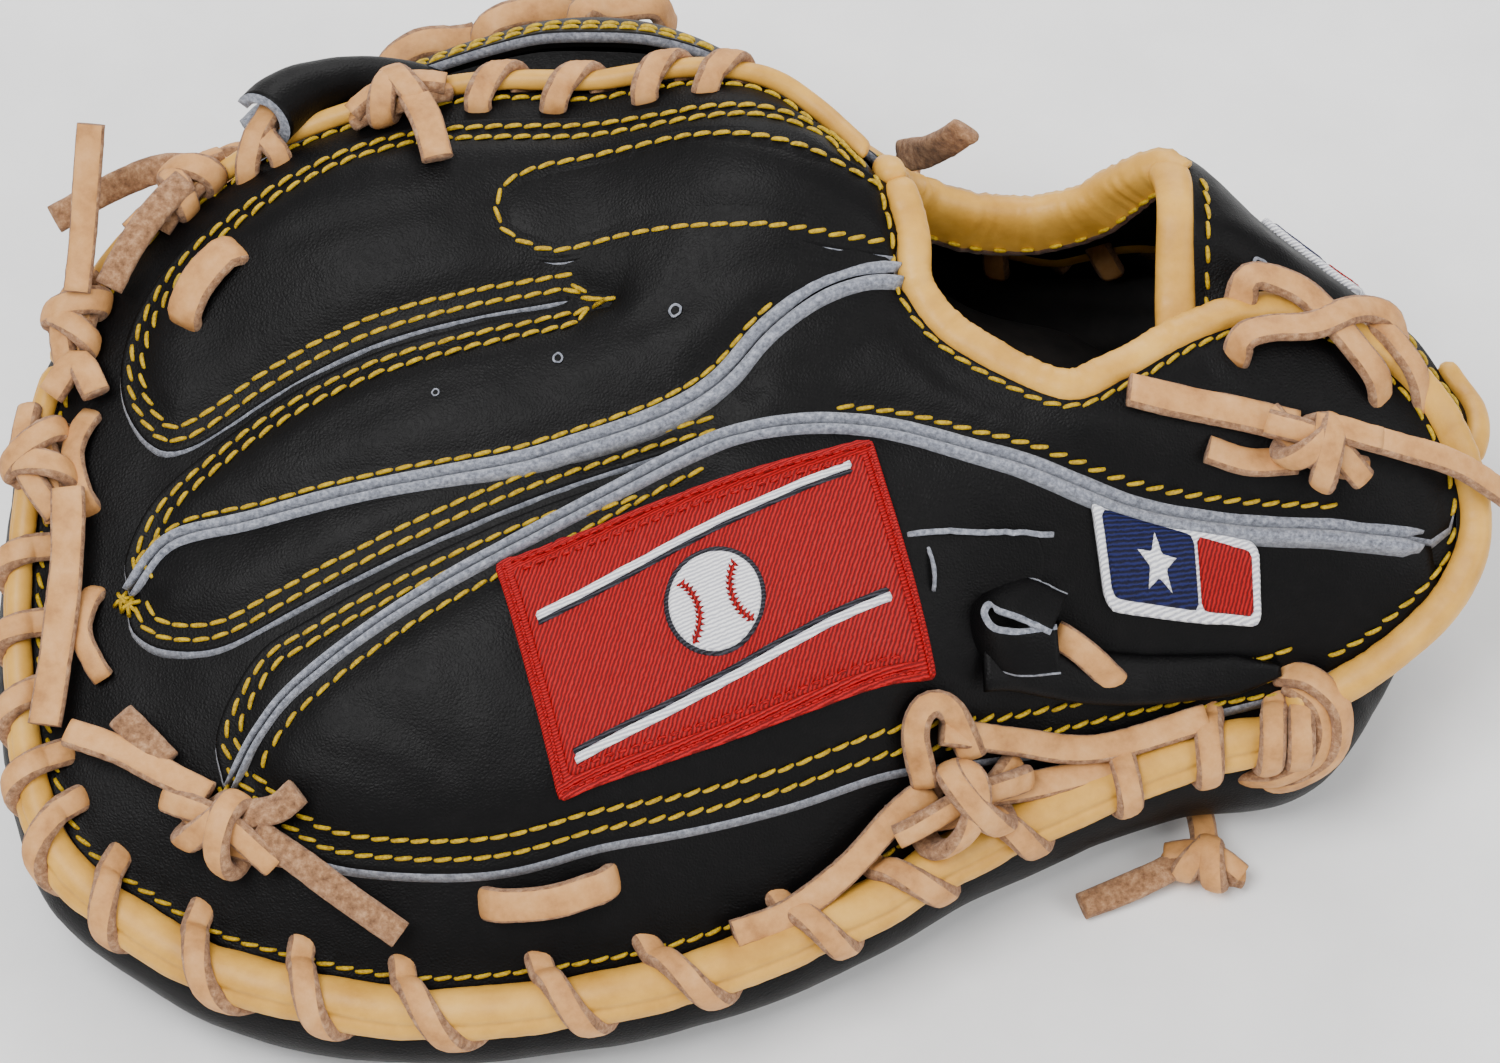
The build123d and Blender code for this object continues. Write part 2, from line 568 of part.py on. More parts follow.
with BuildPart() as rim_lace_thumb_side:
    whip_lace(THUMB_RIM, -1, 12.0, 300.0, surface=thumb_roll_height)
save(rim_lace_thumb_side, "rim_lace_thumb_side")


# ---------------------------------------------------------------- knots and tails, finger side
SIDE_TAILS = [
    [(-127, -65), (-116, -71), (-107, -76)],
    [(-90, -88), (-78, -96), (-65, -102)],
]
TIP_TAIL = [(-129, -21), (-128.5, -30), (-129.5, -42), (-131, -53), (-132.5, -62)]
HEEL_STRANDS = [
    [(4, -93), (14, -86), (26, -77)],
    [(50, -62), (62, -56), (72, -52.5)],
]

with BuildPart() as stay_laces:
    lace_on([(-109, 7), (-104, 14), (-97, 20)])
    lace_on([(-48, -93), (-36, -92.5), (-25, -90.5)])
    lace_on([(-123, -36), (-124, -44), (-121.5, -52)], width=4.0)
    lace_on([(49, -37.2), (59, -38.4)])
save(stay_laces, "stay_laces")

with BuildPart() as tip_knot:
    knot_on(-133, -11, 15, 13, 10, turn=100, lift=4.4)
save(tip_knot, "tip_knot")

with BuildPart() as tip_lace_tail:
    lace_on(TIP_TAIL, levels=OVER_LACE, width=6.6)
save(tip_lace_tail, "tip_lace_tail")

with BuildPart() as corner_knot:
    knot_on(-127, 12, 13, 11, 9, turn=80, lift=4.4)
    ribbon([(-127, 19, 88), (-126.5, 26, 95), (-126, 33, 102), (-126, 38, 107)], 7.0, 2.6)
save(corner_knot, "corner_knot")

with BuildPart() as web_corner_knot:
    knot_on(-107, 36, 12, 11, 9, turn=20, lift=4.4)
    lace_on([(-123, 19), (-117, 27), (-113, 32)], levels=OVER_LACE)
save(web_corner_knot, "web_corner_knot")

with BuildPart() as top_knot:
    knot_on(-66, 45, 14, 12, 8, turn=0, lift=4.4)
    lace_on([(-62, 38), (-60, 34), (-59, 30)], width=6.2)
save(top_knot, "top_knot")

with BuildPart() as side_knot:
    knot_on(-98, -82, 17, 14, 11, turn=-35, lift=4.4)
    for tail in SIDE_TAILS:
        lace_on(tail, levels=OVER_LACE)
save(side_knot, "side_knot")

with BuildPart() as heel_knot:
    knot_on(38, -68, 20, 16, 13, turn=30, lift=4.4)
    for strand in HEEL_STRANDS:
        lace_on(strand, levels=OVER_LACE)
save(heel_knot, "heel_knot")

with BuildPart() as wrist_knot:
    knot_on(106, -16, 17, 11, 10, turn=-15, lift=0.8)
    lace_on([(72, -13), (84, -13.5), (95, -14)], width=7.0)
save(wrist_knot, "wrist_knot")

with BuildPart() as wrist_lace_tail:
    ribbon([(117.5, -18, 82.5), (124, -18.5, 80), (131, -18.5, 77), (138, -19, 72), (145, -20, 65)], 5.3, 2.6)
save(wrist_lace_tail, "wrist_lace_tail")

with BuildPart() as floor_knot:
    with Locations((88, -61.5, 5)):
        Box(11, 9, 8)
    fillet(floor_knot.edges(), radius=2)
    ribbon([(81, -64, 3), (74, -67, 2.4), (67, -70, 2.2)], 5.6, 2.6)
save(floor_knot, "floor_knot")

# ---------------------------------------------------------------- web and wrist tie
WEB_LOW = [(-84, 45), (-75, 42), (-50, 38), (-20, 34), (8, 31)]
WEB_HIGH = [(-84, 57), (-60, 54.5), (-30, 48.5), (0, 40.5), (8, 36)]
WEB_RISE = [(-84, 80), (-60, 70), (-20, 57), (8, 50)]


def web_height(x, y):
    """The web climbs from the palm to the top bar between finger and thumb."""
    return edge_at(WEB_RISE, x)


with BuildPart() as web_panel:
    layer(WEB_LOW, WEB_HIGH, web_height, above(web_height, 3.0))
save(web_panel, "web_panel")

WEB_BAR_START = (-90, 52.6, 90.5)
WEB_BAR_END = (-76, 57.6, 91)
with BuildPart() as web_top_bar:
    direction = Vector(*WEB_BAR_END) - Vector(*WEB_BAR_START)
    with BuildSketch(Plane(origin=WEB_BAR_START, z_dir=direction)):
        Circle(4.6)
        Circle(2.8, mode=Mode.SUBTRACT)
    extrude(amount=direction.length)
save(web_top_bar, "web_top_bar")

with BuildPart() as web_lace:
    lace_on([(-88, 35), (-86, 42), (-84, 49)], levels=OVER_LACE)
save(web_lace, "web_lace")

with BuildPart() as wrist_tie_lace:
    lace_on([(93, 10), (102, 11), (109, 5), (114, 1), (120, -5)], levels=(1.9, 4.4))
    lace_on([(92, -2), (101, 1), (107, 2.5), (113, 7), (118, 10), (123, 9)], levels=(2.1, 4.6))
save(wrist_tie_lace, "wrist_tie_lace")

# ---------------------------------------------------------------- thumb laces and inner loops
with BuildPart() as thumb_lace_loops:
    for x, y in ((-63, 79), (-44, 83), (-25, 84)):
        lace_on([(x - 8, y), (x, y), (x + 8, y)], levels=(0.8, 3.4))
save(thumb_lace_loops, "thumb_lace_loops")

with BuildPart() as thumb_lace_tail:
    lace_on([(34, 56), (40, 51), (46, 46.5)])
save(thumb_lace_tail, "thumb_lace_tail")


LOOP_FOOT = 4.0            # the ends of an inner loop, above the palm lining


def finger_loop(start, end, rise):
    """A leather loop on the palm lining, for a finger or the thumb to pass through."""
    points = []
    for share in np.linspace(0.0, 1.0, 9):
        x = start[0] + share * (end[0] - start[0])
        y = start[1] + share * (end[1] - start[1])
        points.append((x, y, palm_inside(x, y) + LOOP_FOOT + rise * np.sin(np.pi * share)))
    ribbon(points, 14.0, 1.6)


with BuildPart() as little_finger_loop:
    finger_loop((-12, -76), (-4, -52), 12.0)
save(little_finger_loop, "little_finger_loop")

with BuildPart() as thumb_loop:
    finger_loop((-22, 66), (-16, 92), 9.0)
save(thumb_loop, "thumb_loop")
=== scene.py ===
import math

import bpy
import numpy as np
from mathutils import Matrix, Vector, noise
from mathutils.bvhtree import BVHTree
from mathutils.geometry import delaunay_2d_cdt


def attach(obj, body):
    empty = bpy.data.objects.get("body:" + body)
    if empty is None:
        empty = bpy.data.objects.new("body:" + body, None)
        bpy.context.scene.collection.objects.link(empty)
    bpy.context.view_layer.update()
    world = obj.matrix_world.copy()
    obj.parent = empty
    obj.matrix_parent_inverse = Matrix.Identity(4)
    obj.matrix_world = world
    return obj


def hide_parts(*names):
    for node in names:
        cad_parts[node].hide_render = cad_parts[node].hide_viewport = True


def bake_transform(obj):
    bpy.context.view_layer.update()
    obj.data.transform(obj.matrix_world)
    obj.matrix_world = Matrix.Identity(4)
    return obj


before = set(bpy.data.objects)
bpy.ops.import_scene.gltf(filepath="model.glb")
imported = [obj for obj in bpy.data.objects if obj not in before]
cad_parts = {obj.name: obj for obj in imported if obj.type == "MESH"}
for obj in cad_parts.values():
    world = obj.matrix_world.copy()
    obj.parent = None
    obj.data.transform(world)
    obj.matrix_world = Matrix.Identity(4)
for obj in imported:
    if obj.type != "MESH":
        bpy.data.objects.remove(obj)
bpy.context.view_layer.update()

# Baseball catcher's mitt, lying palm down. Shapes are worked out in millimetres in the same
# modelling coordinates as the CAD, and metres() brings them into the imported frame.
ORIGIN_SHIFT = np.array([1.9, -2.8, 0.5])


def metres(points):
    return (np.asarray(points, float) + ORIGIN_SHIFT) / 1000.0


# ---------------------------------------------------------------- camera
TARGET = (0.0, -15.0, 48.0)
ELEVATION = math.radians(55)
DISTANCE = 1.3

camera_data = bpy.data.cameras.new("camera")
camera_data.lens = 162.24
camera_data.sensor_width = 36.0
camera = bpy.data.objects.new("camera", camera_data)
bpy.context.scene.collection.objects.link(camera)
aim = Vector(metres(TARGET).tolist())
camera.location = aim + DISTANCE * Vector((0, -math.cos(ELEVATION), math.sin(ELEVATION)))
camera.rotation_euler = (math.pi / 2 - ELEVATION, 0, 0)
bpy.context.scene.camera = camera

# ---------------------------------------------------------------- the mitt's control heights, mm
# Inner edge of the roll, from the heel round the fingertips to the wrist opening.
FINGER_RIM = [
    (106, -46, 36), (84, -50, 34), (63, -58, 32), (38, -71, 31), (19, -83, 30), (-11, -97, 30),
    (-36, -103, 30), (-65, -105, 30), (-94, -99, 32), (-112, -90, 34), (-128, -78, 40),
    (-135, -54, 49), (-136, -26, 61), (-131, 5, 73), (-117, 29, 84), (-92, 42, 95),
    (-61, 48, 104), (-30, 47, 108), (5, 46, 109), (22, 31, 105),
]
# Size of the roll at those points: full on the near side, thin along the web.
ROLL_SIZE = [1.0] * 9 + [0.95, 0.78, 0.58, 0.5, 0.46] + [0.42] * 6
WEB_CORNER = 13            # the point of FINGER_RIM where the thin roll takes over
THUMB_RIM = [
    (112, 46, 34), (100, 57, 34), (84, 66, 34), (62, 66, 30), (45, 71, 30), (30, 80, 30),
    (12, 93, 31), (-8, 105, 32), (-30, 111, 33), (-55, 107, 34), (-78, 97, 36), (-92, 83, 39),
    (-101, 72, 46), (-104, 63, 56),
]
THUMB_WEB_EDGE = [
    (-104, 63, 56), (-92, 62, 72), (-78, 62, 85), (-61, 62, 96), (-40, 62, 105), (-20, 61, 106),
    (0, 58, 99), (15, 52, 91),
]
THUMB_OPENING = [
    (30, 40, 88), (42, 41, 79), (54, 42, 76), (64, 42, 80), (72, 42, 88), (79, 41, 93),
]
BACK_CROWN = [
    (-30, -85, 51), (-30, -55, 70), (-30, -20, 87), (-30, 20, 101), (-85, -75, 55),
    (-95, -35, 71), (-100, 5, 84), (25, -58, 60), (25, -25, 82), (25, 0, 95),
    (60, -38, 62), (60, -16, 88), (84, -30, 66), (84, -5, 88), (84, 18, 94), (84, 54, 72),
    (110, -25, 67), (110, -5, 82), (110, 8, 86), (110, 24, 78), (110, 38, 58),
    (136, -35, 46), (136, -15, 64), (136, 2, 71), (136, 16, 62), (134, 32, 42),
    (5, 72, 76), (5, 84, 58), (-30, 80, 86), (-30, 97, 60), (-60, 78, 78), (-58, 94, 54),
    (-80, 76, 66), (30, 56, 68), (30, 68, 50), (54, 56, 56),
]
PALM_RIM_NEAR = [
    (128, -14, 24), (121, -34, 18), (107, -51, 10), (85, -55, 9), (66, -62, 9), (41, -75, 9),
    (21, -88, 9), (-10, -102, 9), (-36, -108, 9), (-66, -110, 9), (-96, -104, 9),
    (-115, -94, 11), (-132, -81, 17), (-140, -55, 27), (-141, -26, 38), (-136, 7, 49),
    (-122, 33, 60),
]
PALM_RIM_FAR = [
    (128, 28, 22), (116, 50, 12), (103, 61, 10), (85, 71, 9), (62, 71, 9), (47, 75, 9),
    (33, 84, 9), (15, 97, 9), (-6, 109, 9), (-30, 115, 9), (-57, 111, 10), (-81, 101, 13),
    (-96, 86, 19), (-105, 74, 26), (-108, 64, 34),
]
PALM_FOOT = [
    (98, -40, 2), (82, -42, -2), (60, -50, -2), (34, -62, -2), (14, -75, -2), (-14, -88, -2),
    (-38, -94, -2), (-64, -96, -2), (-90, -91, -2), (-106, -82, 3), (-120, -71, 9),
    (-126, -51, 19), (-127, -25, 29), (-121, 4, 40), (-110, 24, 51),
    (94, 45, 2), (78, 53, -2), (62, 54, -2), (38, 60, -2), (20, 70, -2), (2, 83, -2), (-14, 93, -2),
    (-30, 97, -2), (-50, 93, 1), (-68, 85, 4), (-81, 74, 10), (-90, 64, 22),
]
PALM_POCKET = [
    (100, -15, 24), (60, -20, 28), (60, 0, 36), (20, -45, 27), (20, -10, 42), (-20, -60, 27),
    (-20, -25, 44), (-60, -65, 25), (-60, -30, 45), (-95, -55, 27), (-95, -20, 44),
    (-60, 10, 54), (-92, 12, 53), (-20, 8, 51), (20, 15, 47), (128, 8, 26), (100, 14, 31),
    (60, 21, 40), (20, 29, 48), (-20, 37, 54), (-60, 44, 57), (-100, 46, 54), (104, 32, 24),
    (62, 38, 28), (30, 48, 36), (0, 56, 43), (-30, 62, 48), (-60, 62, 47), (-84, 56, 44),
    (-30, 80, 28), (-60, 78, 24),
]

# Layers, measured from the back surface as in the CAD.
BASE_TOP, BASE_THICKNESS = -2.9, 1.8
PANEL_TOP, PANEL_THICKNESS = 0.2, 2.6
LINING_THICKNESS = 1.4
STRAP_DIVE = 9.2           # how far the wrist strap lies below the back, under the flap
STITCH_PITCH = 3.7
LACE_WIDTH, LACE_THICKNESS = 5.6, 2.9
ROLL_CENTRE = (4.6, -3.4)  # middle of a full-size roll: out from the rim line, and up
ROLL_RADIUS = 4.75


# ---------------------------------------------------------------- surfaces and lines
class HeightField:
    """Thin-plate surface through a few heights, each (x, y, z)."""

    def __init__(self, heights):
        heights = np.array(heights, float)
        self.knots = heights[:, :2] / 100.0
        count = len(heights)
        system = np.zeros((count + 3, count + 3))
        system[:count, :count] = self.bend(self.knots)
        system[:count, count] = 1.0
        system[:count, count + 1:] = self.knots
        system[count:, :count] = system[:count, count:].T
        self.weights = np.linalg.solve(system, np.append(heights[:, 2], [0.0, 0.0, 0.0]))

    def bend(self, points):
        distance = np.linalg.norm(points[:, None] - self.knots[None], axis=2)
        return distance ** 2 * np.log(np.maximum(distance, 1e-9))

    def __call__(self, x, y):
        x, y = np.broadcast_arrays(np.asarray(x, float), np.asarray(y, float))
        points = np.stack([x.ravel(), y.ravel()], axis=1) / 100.0
        z = self.bend(points) @ self.weights[:-3] + self.weights[-3] + points @ self.weights[-2:]
        return z.reshape(x.shape)


def soft_min(a, b, blend=2.0):
    return 0.5 * (a + b - np.sqrt((a - b) ** 2 + blend ** 2))


back = HeightField(FINGER_RIM + THUMB_RIM + THUMB_WEB_EDGE[1:] + THUMB_OPENING + BACK_CROWN)
pocket = HeightField(PALM_RIM_NEAR + PALM_RIM_FAR + PALM_FOOT + PALM_POCKET)


def palm_outside(x, y):
    return -soft_min(-pocket(x, y), 0.0, blend=1.0)


def palm_inside(x, y):
    near_rim = np.exp(-(((back(x, y) - 34.0) / 14.0) ** 2))
    return soft_min(palm_outside(x, y) + 13.0 + 10.0 * near_rim, back(x, y) - 9.5)


def heel_height(x, y):
    return np.minimum(palm_inside(x, y) + 0.6, back(x, y) - 6.0)


def strap_height(x, y):
    """The wrist strap dives under the flap of the little-finger side."""
    rise = np.clip((np.asarray(y, float) - 10.0) / 16.0, 0.0, 1.0)
    return back(x, y) - STRAP_DIVE * (1.0 - rise * rise * (3.0 - 2.0 * rise))


def on_back(points, level):
    """Plan points on the back surface, raised by a level."""
    return [(x, y, float(back(x, y)) + level) for x, y in points]


def dipped(points, level, depth=5.0):
    """The same, with both ends going down into the leather."""
    raised = on_back(points, level)
    for end in (0, -1):
        x, y, z = raised[end]
        raised[end] = (x, y, z - depth)
    return raised


def unit(vectors):
    return vectors / np.maximum(np.linalg.norm(vectors, axis=-1, keepdims=True), 1e-9)


def powered(values, power):
    """A power that keeps the sign: below 1 it squares a circle's cosine and sine off."""
    return np.sign(values) * np.abs(values) ** power


def wobble(*place):
    """Smooth noise from -1 to 1 at a place."""
    return noise.noise(Vector(place))


def rough(points, scale, seed=0.0):
    """The same at each plan point."""
    return np.array([wobble(p[0] / scale, p[1] / scale, seed) for p in points])


def turns_of(count):
    return np.linspace(0, 2 * np.pi, count, endpoint=False)


def run_along(line):
    """Distance from the start of a line at each of its points."""
    return np.append([0.0], np.cumsum(np.linalg.norm(np.diff(line, axis=0), axis=1)))


def columns_at(places, keys, table):
    """Each column of a table, read at the places between its keys."""
    return np.stack([np.interp(places, keys, column) for column in np.asarray(table, float).T], axis=-1)


def even(line, step, closed=False):
    """The same line, cut into even steps."""
    run = run_along(line)
    places = np.linspace(0.0, run[-1], max(3, int(round(run[-1] / step)) + 1))
    points = columns_at(places, run, line)
    return points[:-1] if closed else points


def smooth_line(points, step=1.5, closed=False):
    """A smooth curve through the points, cut into even steps."""
    points = np.array(points, float)
    if closed:
        ring = np.vstack([points[-1:], points, points[:2]])
    else:
        ring = np.vstack([2 * points[:1] - points[1:2], points, 2 * points[-1:] - points[-2:-1]])
    t = np.linspace(0, 1, 12, endpoint=False)[:, None]
    spans = []
    for a, b, c, d in zip(ring[:-3], ring[1:-2], ring[2:-1], ring[3:]):
        bend = (2 * a - 5 * b + 4 * c - d) * t ** 2 + (3 * b - a - 3 * c + d) * t ** 3
        spans.append(0.5 * (2 * b + (c - a) * t + bend))
    spans.append(points[:1] if closed else points[-1:])
    return even(np.vstack(spans), step, closed)


def plan_of(points):
    return [point[:2] for point in points]


def beside(line, distance):
    """A plan line moved sideways; positive is to the left of the way it runs."""
    along = unit(np.gradient(line[:, :2], axis=0))
    return line[:, :2] + distance * np.stack([-along[:, 1], along[:, 0]], axis=1)


def distance_to(line, points, closed=False):
    """How far each plan point is from a plan line."""
    line = np.asarray(line)[:, :2]
    if closed:
        line = np.vstack([line, line[:1]])
    start, span = line[:-1], np.diff(line, axis=0)
    length = np.maximum((span ** 2).sum(1), 1e-9)
    nearest = []
    for block in np.array_split(points, max(1, len(points) // 3000)):
        gap = block[:, None] - start[None]
        share = np.clip((gap * span).sum(2) / length, 0, 1)
        nearest.append(np.linalg.norm(gap - share[..., None] * span, axis=2).min(1))
    return np.concatenate(nearest)


def is_inside(outline, points):
    a, b = outline, np.roll(outline, -1, axis=0)
    x, y = points[:, :1], points[:, 1:]
    crosses = (a[:, 1] > y) != (b[:, 1] > y)
    slope = (b[:, 0] - a[:, 0]) / np.where(b[:, 1] == a[:, 1], 1e-9, b[:, 1] - a[:, 1])
    return ((crosses & (x < a[:, 0] + (y - a[:, 1]) * slope)).sum(1) % 2) == 1


class Track:
    """A line on the mitt that knows its own directions: along, out and up."""

    def __init__(self, plan, height, side, step=1.5):
        flat = smooth_line(plan_of(plan), step)
        self.points = np.column_stack([flat, height(flat[:, 0], flat[:, 1])])
        self.along = unit(np.gradient(self.points, axis=0))
        level = np.column_stack([-self.along[:, 1], self.along[:, 0], np.zeros(len(flat))])
        self.out = side * unit(level)
        self.up = unit(np.cross(self.along, self.out) * side)
        self.run = run_along(self.points)
        self.length = self.run[-1]

    def at(self, run, table):
        return columns_at(run, self.run, table)

    def place(self, run, out, up):
        """Points at these distances along, out from and above the line."""
        run = np.asarray(run, float)
        out_part = np.asarray(out)[..., None] * self.at(run, self.out)
        return self.at(run, self.points) + out_part + np.asarray(up)[..., None] * self.at(run, self.up)

    def wrap(self, runs, loops):
        """A skin through one (out, up) loop at each distance along."""
        around = runs[:, None] + np.zeros(loops.shape[1])
        return skin(self.place(around, loops[..., 0], loops[..., 1]))


# ---------------------------------------------------------------- materials
def screen(red, green, blue):
    """A colour given as it looks on screen, 0 to 255, as the shader wants it."""
    return tuple(((c / 255 + 0.055) / 1.055) ** 2.4 for c in (red, green, blue)) + (1.0,)


class Finish:
    """A procedural material, with patterns in its colour, its gloss and its relief.

    shades are (place, red, green, blue); gloss is (pattern, low, high) for the roughness; each
    relief is (pattern, strength, depth in metres)."""

    def __init__(self, name, slot, pattern, shades, specular, gloss=None, reliefs=(), sheen=0.0):
        self.slot = slot
        self.material = bpy.data.materials.new(name)
        self.material.use_nodes = True
        self.tree = self.material.node_tree
        self.shader = self.tree.nodes["Principled BSDF"]
        self.shader.inputs["Roughness"].default_value = 0.6
        self.shader.inputs["Specular IOR Level"].default_value = specular
        self.shader.inputs["Sheen Weight"].default_value = sheen
        self.shader.inputs["Sheen Roughness"].default_value = 0.6
        self.where = self.node("ShaderNodeTexCoord").outputs["Object"]
        self.colour(pattern(self), shades)
        if gloss is not None:
            self.gloss(*gloss)
        normal = None
        for relief, strength, depth in reliefs:
            normal = self.bump(relief(self), strength, depth, normal)

    def node(self, kind, **inputs):
        made = self.tree.nodes.new(kind)
        for key, value in inputs.items():
            made.inputs[key.replace("_", " ")].default_value = value
        return made

    def join(self, source, target):
        self.tree.links.new(source, target)

    def colour(self, factor, shades):
        made = self.node("ShaderNodeValToRGB")
        ramp = made.color_ramp
        while len(ramp.elements) < len(shades):
            ramp.elements.new(0.5)
        for element, (place, *shade) in zip(ramp.elements, shades):
            element.position = place
            element.color = screen(*shade)
        self.join(factor, made.inputs["Fac"])
        self.join(made.outputs["Color"], self.shader.inputs["Base Color"])

    def gloss(self, pattern, low, high):
        made = self.node("ShaderNodeMapRange", To_Min=low, To_Max=high)
        self.join(pattern(self), made.inputs["Value"])
        self.join(made.outputs["Result"], self.shader.inputs["Roughness"])

    def bump(self, height, strength, depth, normal):
        """One more level of relief on top of the last one."""
        made = self.node("ShaderNodeBump", Strength=strength, Distance=depth)
        self.join(height, made.inputs["Height"])
        if normal is not None:
            self.join(normal, made.inputs["Normal"])
        self.join(made.outputs["Normal"], self.shader.inputs["Normal"])
        return made.outputs["Normal"]


def grain(scale, detail=4.0, roughness=0.55):
    def pattern(finish):
        made = finish.node("ShaderNodeTexNoise", Scale=scale, Detail=detail, Roughness=roughness)
        finish.join(finish.where, made.inputs["Vector"])
        return made.outputs["Fac"]
    return pattern


def cells(scale):
    """The fine net of creases between the pores."""
    def pattern(finish):
        made = finish.node("ShaderNodeTexVoronoi", Scale=scale)
        made.feature = "DISTANCE_TO_EDGE"
        finish.join(finish.where, made.inputs["Vector"])
        return made.outputs["Distance"]
    return pattern


def threads(scale, angle):
    """Fine parallel threads, turned by an angle in degrees."""
    def pattern(finish):
        turned = finish.node("ShaderNodeMapping", Rotation=(0, 0, math.radians(angle)))
        finish.join(finish.where, turned.inputs["Vector"])
        made = finish.node("ShaderNodeTexWave", Scale=scale, Distortion=2.2, Detail_Scale=2.0)
        finish.join(turned.outputs["Vector"], made.inputs["Vector"])
        return made.outputs["Fac"]
    return pattern


def embroidery(name, slot, dark, mid, pale, angle, scale):
    """Satin stitch, with a soft sheen."""
    satin = threads(scale, angle)
    return Finish(name, slot, satin, [(0.1, *dark), (0.5, *mid), (0.9, *pale)], specular=0.22,
                  gloss=(grain(700), 0.45, 0.7), reliefs=[(satin, 0.7, 0.0003), (grain(2600), 0.35, 0.0002)])


BLACK = Finish(
    "black_leather", "black_leather", grain(260, 6), [(0.25, 3, 3, 4), (0.6, 7, 6, 7), (0.8, 12, 11, 12)],
    specular=0.13, gloss=(grain(90, 5), 0.38, 0.6),
    reliefs=[(grain(110, 6), 0.26, 0.0008), (cells(1350), 0.7, 0.00016), (grain(2600, 3), 0.28, 0.0001)])
LINING = Finish(
    "lining_leather", "lining_leather", grain(180, 6), [(0.3, 17, 16, 16), (0.75, 30, 27, 26)],
    specular=0.25, gloss=(grain(70), 0.6, 0.85), reliefs=[(grain(700, 5), 0.3, 0.0002)])
TAN = Finish(
    "tan_leather", "tan_leather", grain(85, 7, 0.6),
    [(0.25, 184, 130, 42), (0.55, 214, 160, 64), (0.8, 228, 178, 84)],
    specular=0.4, gloss=(grain(140), 0.38, 0.58),
    reliefs=[(grain(330, 5, 0.6), 0.35, 0.0004), (cells(1700), 0.22, 0.0001)])
GRAIN = Finish(
    "rawhide_grain", "rawhide_lace", grain(160, 8, 0.65),
    [(0.25, 156, 104, 56), (0.5, 198, 142, 84), (0.8, 220, 168, 112)],
    specular=0.3, gloss=(grain(200), 0.5, 0.72),
    reliefs=[(grain(500, 6, 0.65), 0.4, 0.0003), (cells(1500), 0.25, 0.00012)])
FLESH = Finish(
    "rawhide_flesh", "rawhide_lace", grain(650, 8, 0.7),
    [(0.3, 98, 64, 40), (0.5, 158, 114, 78), (0.72, 208, 164, 122)],
    specular=0.1, sheen=0.15, gloss=(grain(300), 0.8, 0.98), reliefs=[(grain(1500, 6, 0.75), 0.9, 0.0006)])
RAW = Finish(
    "raw_edge", "raw_edge", grain(1100, 6, 0.7),
    [(0.3, 70, 73, 82), (0.5, 130, 134, 146), (0.7, 180, 183, 194)],
    specular=0.1, sheen=0.3, gloss=(grain(300), 0.85, 1.0), reliefs=[(grain(2200, 6, 0.75), 0.9, 0.0004)])
GOLD = Finish(
    "gold_thread", "gold_thread", grain(1400),
    [(0.3, 140, 108, 0), (0.55, 192, 156, 2), (0.75, 216, 184, 24)],
    specular=0.4, gloss=(grain(600), 0.38, 0.6), reliefs=[(grain(3800), 0.8, 0.0003)])
# The cut brown edge of the tan binding.
BROWN = Finish(
    "binding_edge", "tan_leather", grain(900, 7, 0.7), [(0.3, 80, 44, 22), (0.7, 140, 88, 50)],
    specular=0.15, sheen=0.2, gloss=(grain(300), 0.8, 0.95), reliefs=[(grain(1800, 6), 0.8, 0.0004)])
RED = embroidery("red_thread", "red_embroidery", (92, 0, 2), (146, 0, 5), (174, 5, 13), 20, 430)
RED_RIM = embroidery("red_rim_thread", "red_embroidery", (110, 0, 3), (162, 0, 8), (186, 10, 20), 65, 620)
WHITE = embroidery("white_thread", "patch_embroidery", (186, 186, 196), (232, 232, 236), (250, 250, 250),
                   70, 520)
NAVY = embroidery("navy_thread", "patch_embroidery", (4, 6, 34), (9, 14, 56), (22, 29, 82), 80, 520)
DARK = embroidery("dark_thread", "patch_embroidery", (18, 18, 24), (34, 34, 42), (58, 58, 66), 70, 520)
FLOOR = Finish("pale_floor", None, grain(40), [(0.3, 238, 238, 238), (0.7, 246, 246, 246)], specular=0.2)

# ---------------------------------------------------------------- meshes
class Mesh:
    """Collects vertices and faces, in millimetres, for one piece."""

    def __init__(self, *finishes):
        self.finishes = finishes
        self.vertices, self.faces, self.finish_of = [], [], []
        self.count = 0

    def add(self, vertices, faces, finish=0):
        """finish is one number, or one for each face."""
        self.vertices.append(np.asarray(vertices, float).reshape(-1, 3))
        self.faces.extend([tuple(int(i) + self.count for i in face) for face in faces])
        self.finish_of.extend([finish] * len(faces) if isinstance(finish, int) else list(finish))
        self.count += len(self.vertices[-1])

    def piece(self, name, body=None, replaces=()):
        """The finished object, riding on a body, or with its transform baked in and no body if body is None.
        """
        mesh = bpy.data.meshes.new(name)
        mesh.from_pydata(metres(np.vstack(self.vertices)).tolist(), [], self.faces)
        for finish in self.finishes:
            mesh.materials.append(finish.material)
        mesh.polygons.foreach_set("material_index", self.finish_of)
        mesh.polygons.foreach_set("use_smooth", [True] * len(self.faces))
        mesh.update()
        made = bpy.data.objects.new(name, mesh)
        bpy.context.scene.collection.objects.link(made)
        if body is None:
            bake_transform(made)
        else:
            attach(made, body)
        if replaces:
            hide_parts(*replaces)
        return made


